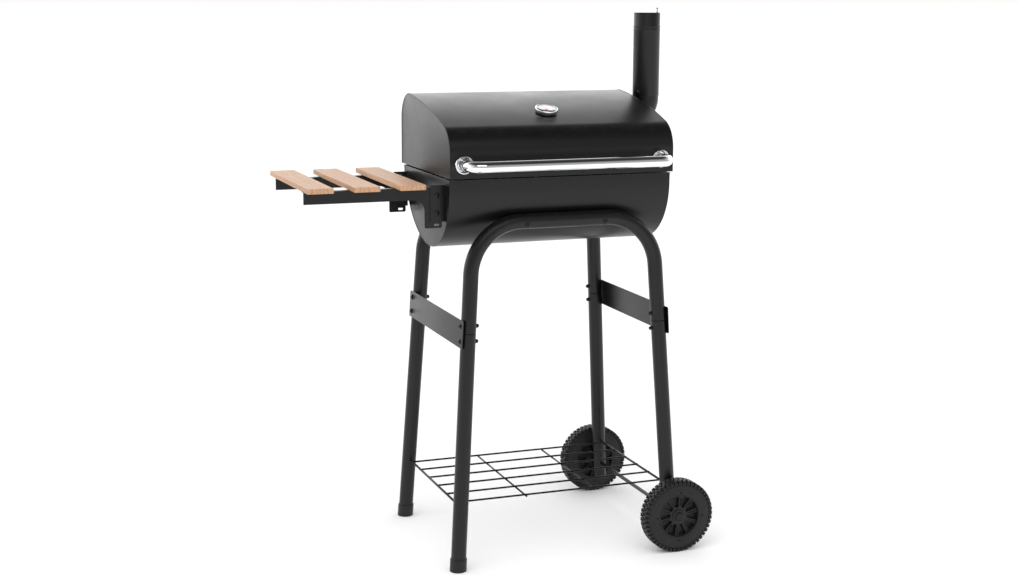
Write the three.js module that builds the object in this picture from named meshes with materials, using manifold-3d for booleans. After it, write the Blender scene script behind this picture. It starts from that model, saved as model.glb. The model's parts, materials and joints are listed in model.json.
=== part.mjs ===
// Barrel charcoal grill and smoker on a tube trolley: hinged lid with a side chimney, slatted side
// table, wire rack and two wheels. Millimetres, +Z up, +X towards the wheels, -Y towards the cook.
// The barrel's middle is x = 0, y = 0 while building; the last group moves the whole to its origin.
import * as THREE from 'three'
import { mergeVertices } from 'three/addons/utils/BufferGeometryUtils.js'
import Module from 'manifold-3d'

const wasm = await Module()
wasm.setup()

// ---- driving dimensions ----
const sheet = 1.2 // steel sheet of the barrel
const gap = 0.3 // clearance between pieces that touch

const seamHeight = 769 // where lid and bowl meet
const lid = {
  halfLength: 233.4, front: -161.5, rear: 160, // outside of the sheet
  // the crowned top runs between a steep line at the front and a flatter one at the rear
  meetY: -8, meetZ: 907.6, frontSlope: 0.337, rearSlope: 0.092,
  crownRadius: 900, frontRadius: 54, rearRadius: 55,
}
const bowl = {
  halfLength: 231.5, front: -152, middle: -27, bottom: 624, // the two arcs meet at middle, at the bottom
  frontRadius: 125, rearRadius: 180, rim: 4, rimDepth: 2,
}

const tubeRadius = 15 // legs and upper frame tubes
const tubeWall = 1.5
const frame = { middle: 5.5, halfSpread: 231, inwardX: 0.0612, halfDepth: 182, inwardY: 0.0449 }
const frameTop = 683.3 // centre line of the upper tubes' top runs
const frameBend = 105 // centre line radius of their corners
const legJoint = 471 // where upper tubes meet the lower legs
const frameBoltX = [-76, 88]
const bolt = { radius: 3, hole: 3.6, head: 6, nut: 5.6 } // the four that hold the bowl to the upper tubes
const leg = { wheelEndDrop: 30, footLift: 4 } // below the axle, and above the floor inside a foot cap
const footCap = { wall: 1.6, height: 26 }

const wheel = { radius: 75, inner: 200, outer: 233, height: 75, recessRadius: 41.5, hubRadius: 20 }
const axleRadius = 4
const rackHeight = 127.5

const hinge = {
  x: 150, y: 167, z: 770, width: 44, pinRadius: 2.4, knuckleRadius: 4.6, leaf: 1.5,
  leafLow: 7, leafHigh: 34, // the lid leaf's plate, above the pin
  shelfDrop: 5, legDrop: 34, // the bowl leaf's shelf and the foot of its leg, below the pin
}
const handle = { height: 798.5, left: -208.5, right: 201.5, reach: -221.8, radius: 11, wall: 1.2, bend: 24 }
const gauge = { x: -3, y: -70, radius: 23, height: 11, stem: 3.6, probe: 46 }
const chimney = { x: 275, y: 62, radius: 27.7, holeHeight: 865, top: 1078, wall: 1.2, bend: 38, flange: 9 }
const damper = { pivot: 23.4, hole: 2.3, flap: 1.5 } // pivot is from the chimney's centre to the flap's pin

const table = {
  left: -509, slatWidth: 50, slatPitch: 89, slatHalfLength: 165, slatBottom: 753.4, slatThickness: 10,
}
const arm = {
  left: -507, right: -237, y: 121, bottom: 729, top: 753, thickness: 1.5, flange: 14,
  tabLeft: -272, tabBottom: 674, fillet: 22, corner: 3,
}
const bracket = { low: 686, high: 757, reach: 29, depth: 20, offset: 2, thickness: 1.5 }

const ledge = { top: 748, width: 15, drop: 14, thickness: 1.5 }
const cookingGrate = { rear: 138, height: 5, bar: 4, bars: 15 }
const charcoalGrate = { front: -118, rear: 86, low: 668, height: 6, bar: 6, bars: 17 }

// ---- colours and finishes ----
const finish = (color, roughness, metalness) =>
  new THREE.MeshStandardMaterial({ color, roughness, metalness })
const blackPaint = finish(0x2e2f31, 0.42, 0.1)
const blackPlastic = finish(0x1d1e1f, 0.6, 0)
const chrome = finish(0xe6e8ea, 0.08, 1)
const zincSteel = finish(0xa9acae, 0.35, 1)
const wireSteel = finish(0x9a9c9e, 0.3, 1)
const darkWire = finish(0x1c1c1d, 0.45, 0.2)
const paleWood = finish(0xd9a679, 0.6, 0)
const dialWhite = finish(0xf2f2ee, 0.5, 0)
const needleRed = finish(0xb3221c, 0.5, 0)
const clearGlass = finish(0xf4f8fa, 0.05, 0)

// ---- axes that shapes are drawn in ----
const xAxis = new THREE.Vector3(1, 0, 0)
const yAxis = new THREE.Vector3(0, 1, 0)
const zAxis = new THREE.Vector3(0, 0, 1)
const basis = (a, b, c) =>
  new THREE.Quaternion().setFromRotationMatrix(new THREE.Matrix4().makeBasis(a, b, c))
const sectionYZ = basis(yAxis, zAxis, xAxis) // drawn in y and z, extruded towards +X
const sectionXZ = basis(xAxis, zAxis, yAxis.clone().negate()) // drawn in x and z, extruded towards -Y
const upright = basis(xAxis, zAxis, yAxis.clone().negate()) // a lathe's axis turned from +Y to +Z

// ---- solids ----
function solid(geometry) {
  const bare = geometry.index ? geometry.toNonIndexed() : geometry.clone()
  bare.deleteAttribute('normal')
  bare.deleteAttribute('uv')
  const merged = mergeVertices(bare, 1e-4)
  const vertProperties = new Float32Array(merged.attributes.position.array)
  const triVerts = new Uint32Array(merged.index.array)
  return new wasm.Manifold(new wasm.Mesh({ numProp: 3, vertProperties, triVerts }))
}

function geometryOf(manifold) {
  const mesh = manifold.getMesh()
  const geometry = new THREE.BufferGeometry()
  geometry.setAttribute('position', new THREE.BufferAttribute(new Float32Array(mesh.vertProperties), 3))
  geometry.setIndex(new THREE.BufferAttribute(new Uint32Array(mesh.triVerts), 1))
  return geometry
}

const joined = (...geometries) => geometryOf(geometries.map(solid).reduce((a, b) => a.add(b)))
const cut = (geometry, ...tools) =>
  geometryOf(tools.map(solid).reduce((a, b) => a.subtract(b), solid(geometry)))
const common = (a, b) => geometryOf(solid(a).intersect(solid(b)))

function box(low, high) {
  const size = high.map((value, i) => value - low[i])
  return new THREE.BoxGeometry(...size).translate(...low.map((value, i) => value + size[i] / 2))
}

function extruded(shape, depth, curveSegments = 10) {
  return new THREE.ExtrudeGeometry(shape, { depth, bevelEnabled: false, steps: 1, curveSegments })
}

const turned = (profile, segments = 32) =>
  new THREE.LatheGeometry(profile.map(([r, h]) => new THREE.Vector2(r, h)), segments)

const washer = (inner, outer, low, high, segments) =>
  turned([[inner, low], [outer, low], [outer, high], [inner, high], [inner, low]], segments)

function rod(from, to, radius, segments = 12) {
  const along = to.clone().sub(from)
  const turn = new THREE.Quaternion().setFromUnitVectors(yAxis, along.clone().normalize())
  const middle = from.clone().add(to).multiplyScalar(0.5)
  return new THREE.CylinderGeometry(radius, radius, along.length(), segments)
    .applyQuaternion(turn).translate(...middle)
}

const point = (x, y, z) => new THREE.Vector3(x, y, z)

// A tube's centre line that passes exactly through its points, with a mitred section at each.
class BentLine extends THREE.Curve {
  constructor(points) {
    super()
    this.points = points
  }
  getSpacedPoints() {
    return this.points
  }
  getTangentAt(u) {
    const last = this.points.length - 1
    const i = Math.round(u * last)
    const step = (k) => this.points[k + 1].clone().sub(this.points[k]).normalize()
    return step(Math.max(i - 1, 0)).add(step(Math.min(i, last - 1))).normalize()
  }
}

// Straight stretches between corners, each corner rounded to the radius given.
function roundedLine(corners, radius, stepsPerCorner) {
  const points = [corners[0]]
  for (let i = 1; i < corners.length - 1; i++) {
    const back = corners[i - 1].clone().sub(corners[i]).normalize()
    const on = corners[i + 1].clone().sub(corners[i]).normalize()
    const half = back.angleTo(on) / 2
    const centre = back.clone().add(on).normalize().multiplyScalar(radius / Math.sin(half)).add(corners[i])
    const start = back.multiplyScalar(radius / Math.tan(half)).add(corners[i])
    const end = on.multiplyScalar(radius / Math.tan(half)).add(corners[i])
    const turn = Math.PI - 2 * half
    const axis = start.clone().sub(centre).cross(end.clone().sub(centre)).normalize()
    for (let k = 0; k <= stepsPerCorner; k++) {
      const spoke = start.clone().sub(centre).applyAxisAngle(axis, (turn * k) / stepsPerCorner)
      points.push(spoke.add(centre))
    }
  }
  points.push(corners[corners.length - 1])
  return points
}

function ringShape(outer, inner) {
  const shape = new THREE.Shape().absarc(0, 0, outer, 0, Math.PI * 2)
  shape.holes.push(new THREE.Path().absarc(0, 0, inner, 0, Math.PI * 2, true))
  return shape
}

function tube(points, outer, inner, curveSegments = 5) {
  const path = new BentLine(points)
  return new THREE.ExtrudeGeometry(ringShape(outer, inner), {
    extrudePath: path, steps: points.length - 1, curveSegments, bevelEnabled: false,
  })
}

// Continues a path through corners [x, y, radius], each rounded by its own arc.
function roundedCorners(path, corners) {
  for (let i = 0; i < corners.length; i++) {
    const [x, y, radius = 0] = corners[i]
    const here = new THREE.Vector2(x, y)
    if (i === 0) {
      path.moveTo(x, y)
      continue
    }
    if (!radius) {
      path.lineTo(x, y)
      continue
    }
    const back = new THREE.Vector2(...corners[i - 1]).sub(here).normalize()
    const on = new THREE.Vector2(...corners[i + 1]).sub(here).normalize()
    const half = Math.acos(back.dot(on)) / 2
    const centre = back.clone().add(on).normalize().multiplyScalar(radius / Math.sin(half)).add(here)
    const start = back.clone().multiplyScalar(radius / Math.tan(half)).add(here)
    const end = on.clone().multiplyScalar(radius / Math.tan(half)).add(here)
    const angle = (p) => Math.atan2(p.y - centre.y, p.x - centre.x)
    path.lineTo(start.x, start.y)
    path.absarc(centre.x, centre.y, radius, angle(start), angle(end), back.cross(on) > 0)
  }
  return path
}

const plateShape = (corners) => roundedCorners(new THREE.Shape(), corners)
const circleHole = (x, y, radius) => new THREE.Path().absarc(x, y, radius, 0, Math.PI * 2, true)

// ---- the assembly ----
const grill = new THREE.Group()

function add(name, geometry, material, parent = grill) {
  const mesh = new THREE.Mesh(geometry, material)
  mesh.name = name
  parent.add(mesh)
  return mesh
}

const sides = { left: -1, right: 1 }
const faces = { front: -1, rear: 1 }

// ---- barrel ----
const lidCrown = (() => {
  const half = (Math.atan(lid.frontSlope) - Math.atan(lid.rearSlope)) / 2
  const lean = Math.atan(lid.rearSlope) + half
  const reach = lid.crownRadius / Math.cos(half)
  return { y: lid.meetY + reach * Math.sin(lean), z: lid.meetZ - reach * Math.cos(lean) }
})()
const lidTopAt = (y) => lidCrown.z + Math.sqrt(lid.crownRadius ** 2 - (y - lidCrown.y) ** 2)
const lidSlopeAt = (y) => (lidCrown.y - y) / (lidTopAt(y) - lidCrown.z)
const lidBottom = seamHeight + 0.5
const bowlTop = seamHeight - 0.5

function lidCorners(inset) {
  const { frontSlope, rearSlope, meetY, meetZ } = lid
  const drop = (slope) => inset * Math.hypot(1, slope)
  const line = (y, slope) => meetZ + slope * (y - meetY) - drop(slope)
  const front = lid.front + inset
  const rear = lid.rear - inset
  const meet = meetY + (drop(frontSlope) - drop(rearSlope)) / (frontSlope - rearSlope)
  return [
    [front, lidBottom],
    [front, line(front, frontSlope), lid.frontRadius - inset],
    [meet, line(meet, frontSlope), lid.crownRadius - inset],
    [rear, line(rear, rearSlope), lid.rearRadius - inset],
    [rear, lidBottom],
  ]
}

function buildLid() {
  const length = 2 * (lid.halfLength - sheet - gap)
  const section = plateShape([...lidCorners(0), ...lidCorners(sheet).reverse()])
  const gaugeAxis = point(0, -lidSlopeAt(gauge.y), 1).normalize()
  const gaugeFoot = point(gauge.x, gauge.y, lidTopAt(gauge.y))
  const shell = extruded(section, length, 8).applyQuaternion(sectionYZ).translate(-length / 2, 0, 0)
  const holeHalf = 9
  const holeLow = gaugeFoot.clone().addScaledVector(gaugeAxis, -holeHalf)
  const holeHigh = gaugeFoot.clone().addScaledVector(gaugeAxis, holeHalf)
  add('lid_shell', cut(shell, rod(holeLow, holeHigh, gauge.stem + 0.6)), blackPaint)

  for (const [side, sign] of Object.entries(sides)) {
    const outline = plateShape(lidCorners(0).reverse())
    if (sign > 0) outline.holes.push(circleHole(chimney.y, chimney.holeHeight, chimney.radius - chimney.wall))
    const end = add(`lid_end_${side}`, extruded(outline, sheet, 8), blackPaint)
    end.quaternion.copy(sectionYZ)
    end.position.x = sign > 0 ? lid.halfLength - sheet : -lid.halfLength
  }
}

function bowlOutline(path, inset, reversed) {
  const front = bowl.frontRadius - inset
  const rear = bowl.rearRadius - inset
  const frontCentre = bowl.bottom + bowl.frontRadius
  const rearCentre = bowl.bottom + bowl.rearRadius
  const lift = Math.asin((rearCentre - bowlTop) / rear)
  const frontArc = [bowl.middle, frontCentre, front, Math.PI, Math.PI * 1.5]
  const rearArc = [bowl.middle, rearCentre, rear, Math.PI * 1.5, Math.PI * 2 - lift]
  if (!reversed) {
    path.absarc(...frontArc, false).absarc(...rearArc, false)
    return path
  }
  const backwards = ([x, y, r, a, b]) => [x, y, r, b, a]
  return path.absarc(...backwards(rearArc), true).absarc(...backwards(frontArc), true)
}

function buildBowl() {
  const length = 2 * (bowl.halfLength - sheet - gap)
  const rimFront = bowl.front - bowl.rim
  const rimLow = bowlTop - bowl.rimDepth
  const section = plateShape([[rimFront, bowlTop], [rimFront, rimLow], [bowl.front, rimLow]])
  bowlOutline(section, 0, false)
  bowlOutline(section, sheet, true)
  section.lineTo(bowl.front + sheet, bowlTop)
  const shell = extruded(section, length, 9).applyQuaternion(sectionYZ).translate(-length / 2, 0, 0)
  add('bowl_shell', cut(shell, ...frameBolts(bolt.hole)), blackPaint)

  for (const [side, sign] of Object.entries(sides)) {
    const outline = new THREE.Shape().moveTo(bowl.front, bowlTop)
    bowlOutline(outline, 0, false)
    if (sign > 0) {
      vent.holes.forEach(([y, z]) => outline.holes.push(circleHole(y, z, vent.holeRadius)))
      outline.holes.push(circleHole(vent.y, vent.z, vent.pivotHole))
    }
    const end = add(`bowl_end_${side}`, extruded(outline, sheet, 8), blackPaint)
    end.quaternion.copy(sectionYZ)
    end.position.x = sign > 0 ? bowl.halfLength - sheet : -bowl.halfLength
  }
}

// ---- air vent on the bowl's right end: a round shutter that turns over three holes ----
const vent = {
  y: -20, z: 706, radius: 34, ring: 20, holeRadius: 8, turn: Math.PI / 3, pivotHole: 3.3,
  tabHalfWidth: 6, tabLength: 12,
}
const ventHoles = (offset) => [0, 1, 2].map((i) => {
  const angle = Math.PI / 2 + offset + (i * Math.PI * 2) / 3
  return [vent.ring * Math.cos(angle), vent.ring * Math.sin(angle)]
})
vent.holes = ventHoles(0).map(([y, z]) => [vent.y + y, vent.z + z])

function buildVent() {
  const disc = new THREE.Shape().absarc(0, 0, vent.radius, 0, Math.PI * 2)
  ventHoles(vent.turn).forEach(([y, z]) => disc.holes.push(circleHole(y, z, vent.holeRadius)))
  disc.holes.push(circleHole(0, 0, vent.pivotHole))
  const { radius, tabHalfWidth, tabLength } = vent
  const tab = box([-tabHalfWidth, -radius - tabLength, 0], [tabHalfWidth, -radius + 4, sheet])
  const shutter = add('vent_shutter', joined(extruded(disc, sheet, 9), tab), blackPaint)
  shutter.quaternion.copy(sectionYZ)
  shutter.position.set(bowl.halfLength + gap, vent.y, vent.z)

  const rivet = [[0, -4], [6, -4], [6, -sheet - gap], [2.9, -sheet - gap], [2.9, sheet + 2 * gap],
    [6, sheet + 2 * gap], [5, sheet + 3], [0, sheet + 4]]
  const pivot = add('vent_pivot', turned(rivet, 12), zincSteel)
  pivot.quaternion.setFromUnitVectors(yAxis, xAxis)
  pivot.position.set(bowl.halfLength, vent.y, vent.z)
}

// ---- hinges along the rear seam ----
const alongHinge = (low, high, radius, segments = 12) =>
  rod(point(low, hinge.y, hinge.z), point(high, hinge.y, hinge.z), radius, segments)

function lidLeaf(x) {
  const half = hinge.width / 2
  const third = hinge.width / 6 - gap
  const front = lid.rear + gap
  const back = front + hinge.leaf
  const neckLow = hinge.z + 1.5
  return joined(
    box([x - half, front, hinge.z + hinge.leafLow], [x + half, back, hinge.z + hinge.leafHigh]),
    box([x - third, front, neckLow], [x + third, back, hinge.z + hinge.leafLow + 1]),
    box([x - third, front, neckLow], [x + third, hinge.y, hinge.z + 4.4]),
    alongHinge(x - third, x + third, hinge.knuckleRadius),
  )
}

// The bowl's leaf hangs from its outer knuckles, runs in under them and down the bowl's rear wall.
function bowlLeaf(x) {
  const half = hinge.width / 2
  const third = hinge.width / 6
  const shelfTop = hinge.z - hinge.shelfDrop
  const legLow = hinge.z - hinge.legDrop
  const [plateFront, plateBack] = [hinge.y + 3.4, hinge.y + 5]
  const section = plateShape([
    [plateFront, hinge.z], [plateFront, shelfTop - 3], [bowlWallAt(1, shelfTop) + 1, shelfTop - 3],
    [bowlWallAt(1, legLow) + 1, legLow], [bowlWallAt(1, legLow) + 2.5, legLow],
    [bowlWallAt(1, shelfTop) + 3, shelfTop - 4.6], [plateBack, shelfTop - 4.6], [plateBack, hinge.z],
  ].reverse())
  const leaf = joined(
    extruded(section, hinge.width).applyQuaternion(sectionYZ).translate(x - half, 0, 0),
    alongHinge(x - half, x + half, hinge.knuckleRadius),
  )
  const room = 8 // round the lid leaf's knuckle, which turns between the outer two
  const roomLow = [x - third, hinge.y - room, hinge.z - 7.5]
  const roomHigh = [x + third, hinge.y + room, hinge.z + room]
  return cut(leaf, box(roomLow, roomHigh))
}

function buildHinges() {
  const half = hinge.width / 2
  for (const [side, sign] of Object.entries(sides)) {
    const x = sign * hinge.x
    const pinHole = alongHinge(x - 40, x + 40, hinge.pinRadius + gap)
    add(`hinge_lid_leaf_${side}`, cut(lidLeaf(x), pinHole), blackPaint)
    add(`hinge_bowl_leaf_${side}`, cut(bowlLeaf(x), pinHole), blackPaint)

    const shank = alongHinge(x - half - 1, x + half + 1, hinge.pinRadius, 10)
    const head = alongHinge(x + half + gap, x + half + 2, hinge.pinRadius + 1.4, 10)
    add(`hinge_pin_${side}`, joined(shank, head), zincSteel)
  }
}

function bowlWallAt(face, z, inset = 0) {
  const radius = face < 0 ? bowl.frontRadius : bowl.rearRadius
  const below = Math.max(bowl.bottom + radius - z, 0)
  return bowl.middle + face * Math.sqrt((radius - inset) ** 2 - below ** 2)
}

// ---- handle ----
function buildHandle() {
  const ends = lid.front - gap - 1
  const line = roundedLine([
    point(handle.left, ends, handle.height), point(handle.left, handle.reach, handle.height),
    point(handle.right, handle.reach, handle.height), point(handle.right, ends, handle.height),
  ], handle.bend, 5)
  add('handle_bar', tube(line, handle.radius, handle.radius - handle.wall), chrome)

  const bore = handle.radius + gap
  const cup = [[bore, 0], [16.5, 0], [17.3, 4], [18, 10], [17.8, 12.4], [16.8, 13.2], [15.4, 12.6],
    [14.2, 8], [bore, 6], [bore, 0]]
  for (const side of Object.keys(sides)) {
    const ferrule = add(`handle_ferrule_${side}`, turned(cup, 18), chrome)
    ferrule.quaternion.setFromUnitVectors(yAxis, yAxis.clone().negate())
    ferrule.position.set(handle[side], lid.front - gap, handle.height)
  }
}

// ---- thermometer, standing square on the sloping lid ----
function buildGauge() {
  const stand = new THREE.Group()
  stand.position.set(gauge.x, gauge.y, lidTopAt(gauge.y))
  stand.rotation.x = Math.atan(lidSlopeAt(gauge.y))
  grill.add(stand)
  const r = gauge.radius
  const h = gauge.height
  const { stem, probe } = gauge
  const probeRadius = 2.5
  const nutLow = -7
  const nutHigh = -sheet - 0.5
  const casing = [
    [0, -probe], [probeRadius, -probe], [probeRadius, nutLow], [8, nutLow], [8, nutHigh], [stem, nutHigh],
    [stem, 0.4], [r - 1.5, 0.4], [r, 2], [r, h - 1.2], [r - 1.2, h], [r - 2.6, h], [r - 2.6, 4], [0, 4],
  ]
  const pieces = [
    ['gauge_case', turned(casing, 18), chrome],
    ['gauge_dial', turned([[0, 4.3], [r - 3, 4.3], [r - 3, 5.1], [0, 5.1]], 18), dialWhite],
    ['gauge_glass', turned([[0, 8.6], [r - 3, 8.6], [r - 3, 10.2], [0, 10.2]], 18), clearGlass],
  ]
  for (const [name, geometry, material] of pieces) {
    add(name, geometry, material, stand).quaternion.copy(upright)
  }
  const hub = turned([[0, 5.4], [2.2, 5.4], [2.2, 6.8], [0, 6.8]], 16).applyQuaternion(upright)
  const blade = box([-16, -0.8, 5.7], [5, 0.8, 6.4]).rotateZ(Math.PI / 4)
  add('gauge_needle', joined(hub, blade), needleRed, stand)
}

// ---- chimney ----
function buildChimney() {
  const inner = chimney.radius - chimney.wall
  const face = lid.halfLength + gap
  const bendTop = chimney.holeHeight + chimney.bend + 4
  const line = roundedLine([
    point(face, chimney.y, chimney.holeHeight),
    point(chimney.x, chimney.y, chimney.holeHeight),
    point(chimney.x, chimney.y, bendTop),
  ], chimney.bend, 5)
  const elbow = tube(line, chimney.radius - 0.7, inner - 0.7, 8)
  const flange = washer(inner - 0.5, chimney.radius + chimney.flange, 0, sheet, 16)
    .applyQuaternion(new THREE.Quaternion().setFromUnitVectors(yAxis, xAxis))
    .translate(face, chimney.y, chimney.holeHeight)
  add('chimney_elbow', joined(elbow, flange), blackPaint)

  const foot = bendTop + gap
  const stack = washer(inner, chimney.radius, foot, chimney.top, 20).applyQuaternion(upright)
  const { pivot } = damper
  const ear = box([pivot - 5, -5, chimney.top - 6], [inner + 0.6, 5, chimney.top - 4])
  const pinHole = rod(point(pivot, 0, chimney.top - 10), point(pivot, 0, chimney.top), damper.hole, 12)
  const stackMesh = add('chimney_stack', cut(joined(stack, ear), pinHole), blackPaint)
  stackMesh.position.set(chimney.x, chimney.y, 0)

  const flap = new THREE.Shape().absarc(0, 0, chimney.radius, 0, Math.PI * 2)
  flap.holes.push(circleHole(pivot, 0, damper.hole))
  const flapMesh = add('damper_flap', extruded(flap, damper.flap, 10), blackPaint)
  flapMesh.position.set(chimney.x, chimney.y, chimney.top + gap)

  const pin = [
    [0, -8], [2.7, -8], [2.7, -6.3], [1.9, -6.3], [1.9, 3.5], [1.2, 4.2], [1.2, 9.5], [2.2, 10.5],
    [2.2, 11.6], [0, 12],
  ]
  const pinMesh = add('damper_pin', turned(pin, 10), zincSteel)
  pinMesh.quaternion.copy(upright)
  pinMesh.position.set(chimney.x + pivot, chimney.y, chimney.top)
}

// ---- trolley frame: two leaning U tubes on four legs ----
const legX = (sign, z) => frame.middle + sign * (frame.halfSpread - frame.inwardX * z)
const legY = (face, z) => face * (frame.halfDepth - frame.inwardY * z)
const onLeg = (sign, face, z) => point(legX(sign, z), legY(face, z), z)
const wheelX = legX(1, wheel.height)
const alongAxle = (y) => point(wheelX, y, wheel.height)

// Each bolt runs square to the barrel from under the tube, with a domed head and a nut inside the bowl.
function boltLine(face, x) {
  const centre = point(x, bowl.middle, bowl.bottom + (face < 0 ? bowl.frontRadius : bowl.rearRadius))
  const radius = face < 0 ? bowl.frontRadius : bowl.rearRadius
  const tubeCentre = point(x, legY(face, frameTop), frameTop)
  return { centre, radius, tubeCentre, outward: tubeCentre.clone().sub(centre).normalize() }
}

function frameBolts(radius) {
  return Object.values(faces).flatMap((face) => frameBoltX.map((x) => {
    const { centre, tubeCentre, outward } = boltLine(face, x)
    const inner = centre.clone().addScaledVector(outward, 60)
    const outer = tubeCentre.clone().addScaledVector(outward, 40)
    return rod(inner, outer, radius)
  }))
}

function buildFrame() {
  for (const [faceName, face] of Object.entries(faces)) {
    const line = roundedLine([
      onLeg(-1, face, legJoint + gap), onLeg(-1, face, frameTop), onLeg(1, face, frameTop),
      onLeg(1, face, legJoint + gap),
    ], frameBend, 6)
    const upper = tube(line, tubeRadius, tubeRadius - tubeWall)
    add(`frame_upper_${faceName}`, cut(upper, ...frameBolts(bolt.hole)), blackPaint)

    for (const x of frameBoltX) {
      const { centre, radius, tubeCentre, outward } = boltLine(face, x)
      const head = tubeCentre.distanceTo(centre) + tubeRadius + gap
      const wall = radius - sheet - gap
      const { radius: r, nut } = bolt
      const nutTop = wall - 4.5
      const profile = [
        [0, wall - 6], [r, wall - 6], [r, nutTop], [nut, nutTop], [nut, wall], [r, wall],
        [r, head], [bolt.head, head], [bolt.head - 0.6, head + 2.4], [r, head + 3.6], [0, head + 3.8],
      ]
      const sideName = x < 0 ? 'left' : 'right'
      const boltMesh = add(`frame_bolt_${faceName}_${sideName}`, turned(profile, 8), blackPaint)
      boltMesh.quaternion.setFromUnitVectors(yAxis, outward)
      boltMesh.position.copy(centre)

      if (face > 0) {
        const spacerEnd = tubeCentre.distanceTo(centre) - tubeRadius - gap
        const spacer = washer(bolt.hole, 8, radius + gap, spacerEnd, 16)
        const spacerMesh = add(`rear_spacer_${sideName}`, spacer, blackPaint)
        spacerMesh.quaternion.copy(boltMesh.quaternion)
        spacerMesh.position.copy(boltMesh.position)
      }
    }

    for (const [side, sign] of Object.entries(sides)) {
      const bottom = sign > 0 ? wheel.height - leg.wheelEndDrop : leg.footLift
      const ends = [onLeg(sign, face, bottom), onLeg(sign, face, legJoint)]
      const lower = tube(ends, tubeRadius, tubeRadius - tubeWall)
      const axleHole = rod(alongAxle(-260), alongAxle(260), axleRadius + gap)
      add(`leg_${faceName}_${side}`, sign > 0 ? cut(lower, axleHole) : lower, blackPaint)
    }

    add(`foot_cap_${faceName}`, buildFootCap(face), blackPlastic)
  }
}

// A cup on the leg's end, its underside cut flat where it stands on the floor.
function buildFootCap(face) {
  const outside = rod(onLeg(-1, face, -6), onLeg(-1, face, footCap.height), tubeRadius + footCap.wall, 16)
  const floorTop = onLeg(-1, face, leg.footLift - gap)
  const bore = rod(floorTop, onLeg(-1, face, footCap.height + 9), tubeRadius + gap, 16)
  return common(cut(outside, bore), box([-300, -300, 0], [300, 300, 60]))
}

// ---- side plates that tie front and rear legs together over the leg joints ----
function buildSidePlates() {
  const halfLength = 176
  const halfHeight = 27.5
  const boltRise = 15
  const corner = 4
  const thickness = 1.5
  for (const [side, sign] of Object.entries(sides)) {
    const plate = plateShape([
      [0, -halfHeight], [halfLength, -halfHeight, corner], [halfLength, halfHeight, corner],
      [-halfLength, halfHeight, corner], [-halfLength, -halfHeight, corner], [0, -halfHeight],
    ])
    for (const y of [-1, 1]) {
      for (const z of [-boltRise, boltRise]) {
        plate.holes.push(circleHole(y * legY(1, legJoint + z), z, 3.4))
      }
    }
    const mesh = add(`side_plate_${side}`, extruded(plate, thickness, 4), blackPaint)
    const lean = Math.atan(frame.inwardX)
    const turn = new THREE.Quaternion().setFromAxisAngle(yAxis, -sign * lean)
    mesh.quaternion.copy(turn).multiply(sectionYZ)
    const reach = (tubeRadius + gap) / Math.cos(lean) + (sign < 0 ? thickness : 0)
    mesh.position.set(legX(sign, legJoint) + sign * reach, 0, legJoint)
  }
}

// ---- wheels and axle ----
function buildWheels() {
  const half = (wheel.outer - wheel.inner) / 2
  const bore = axleRadius + 0.4
  const shoulder = 9
  const hubFace = half - 5
  const webFace = half - 11
  const { radius, recessRadius, hubRadius } = wheel
  const rim = [[recessRadius, half], [radius - shoulder, half], [radius, half - shoulder]]
  const web = [[bore, hubFace], [hubRadius, hubFace], [hubRadius, webFace], [recessRadius, webFace]]
  const upper = [...web, ...rim]
  const lower = upper.map(([r, y]) => [r, -y])
  const profile = [...lower, ...[...upper].reverse(), lower[0]]
  for (const [faceName, face] of Object.entries(faces)) {
    const middle = face * (wheel.inner + half)
    const wheelMesh = add(`wheel_${faceName}`, turned(profile, 36), blackPlastic)
    wheelMesh.position.set(wheelX, middle, wheel.height)
    wheelMesh.rotation.y = Math.PI / 2

    const capLow = half - 4.6
    const cap = [[0, capLow], [9, capLow], [9, capLow + 2], [6, half - 0.6], [0, half - 0.4]]
    const capMesh = add(`axle_cap_${faceName}`, turned(cap, 12), blackPaint)
    capMesh.quaternion.setFromUnitVectors(yAxis, point(0, face, 0))
    capMesh.position.set(wheelX, middle, wheel.height)
  }
  const axleEnd = wheel.outer - 4.9
  const sleeveIn = legY(1, wheel.height) + tubeRadius + 1
  const sleeveOut = wheel.inner + 5 - gap
  const sleeveRadius = 6.5
  const sleeves = Object.values(faces).map((face) =>
    rod(alongAxle(face * sleeveIn), alongAxle(face * sleeveOut), sleeveRadius, 12))
  const bar = rod(alongAxle(-axleEnd), alongAxle(axleEnd), axleRadius, 12)
  add('axle', joined(bar, ...sleeves), blackPaint)
}

// ---- wire rack between the legs ----
function buildRack() {
  const wire = 1.6
  const sideWire = 2.4
  const left = legX(-1, rackHeight)
  const right = legX(1, rackHeight)
  const legInner = legY(1, rackHeight) - tubeRadius - gap - 0.4
  const rowHalf = 146
  const rows = Array.from({ length: 6 }, (_, i) => -rowHalf + (i * rowHalf * 2) / 5)
  const columns = [1, 2].map((i) => left + ((right - left) * i) / 3)
  const bars = [
    ...[left, right].map((x) => box([x - sideWire, -legInner, rackHeight - sideWire],
      [x + sideWire, legInner, rackHeight + sideWire])),
    ...rows.map((y) => box([left, y - wire, rackHeight - wire], [right, y + wire, rackHeight + wire])),
    ...columns.map((x) => box([x - wire, -rowHalf, rackHeight - wire * 0.9],
      [x + wire, rowHalf, rackHeight + wire * 0.9])),
  ]
  add('bottom_rack', joined(...bars), darkWire)
}

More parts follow.
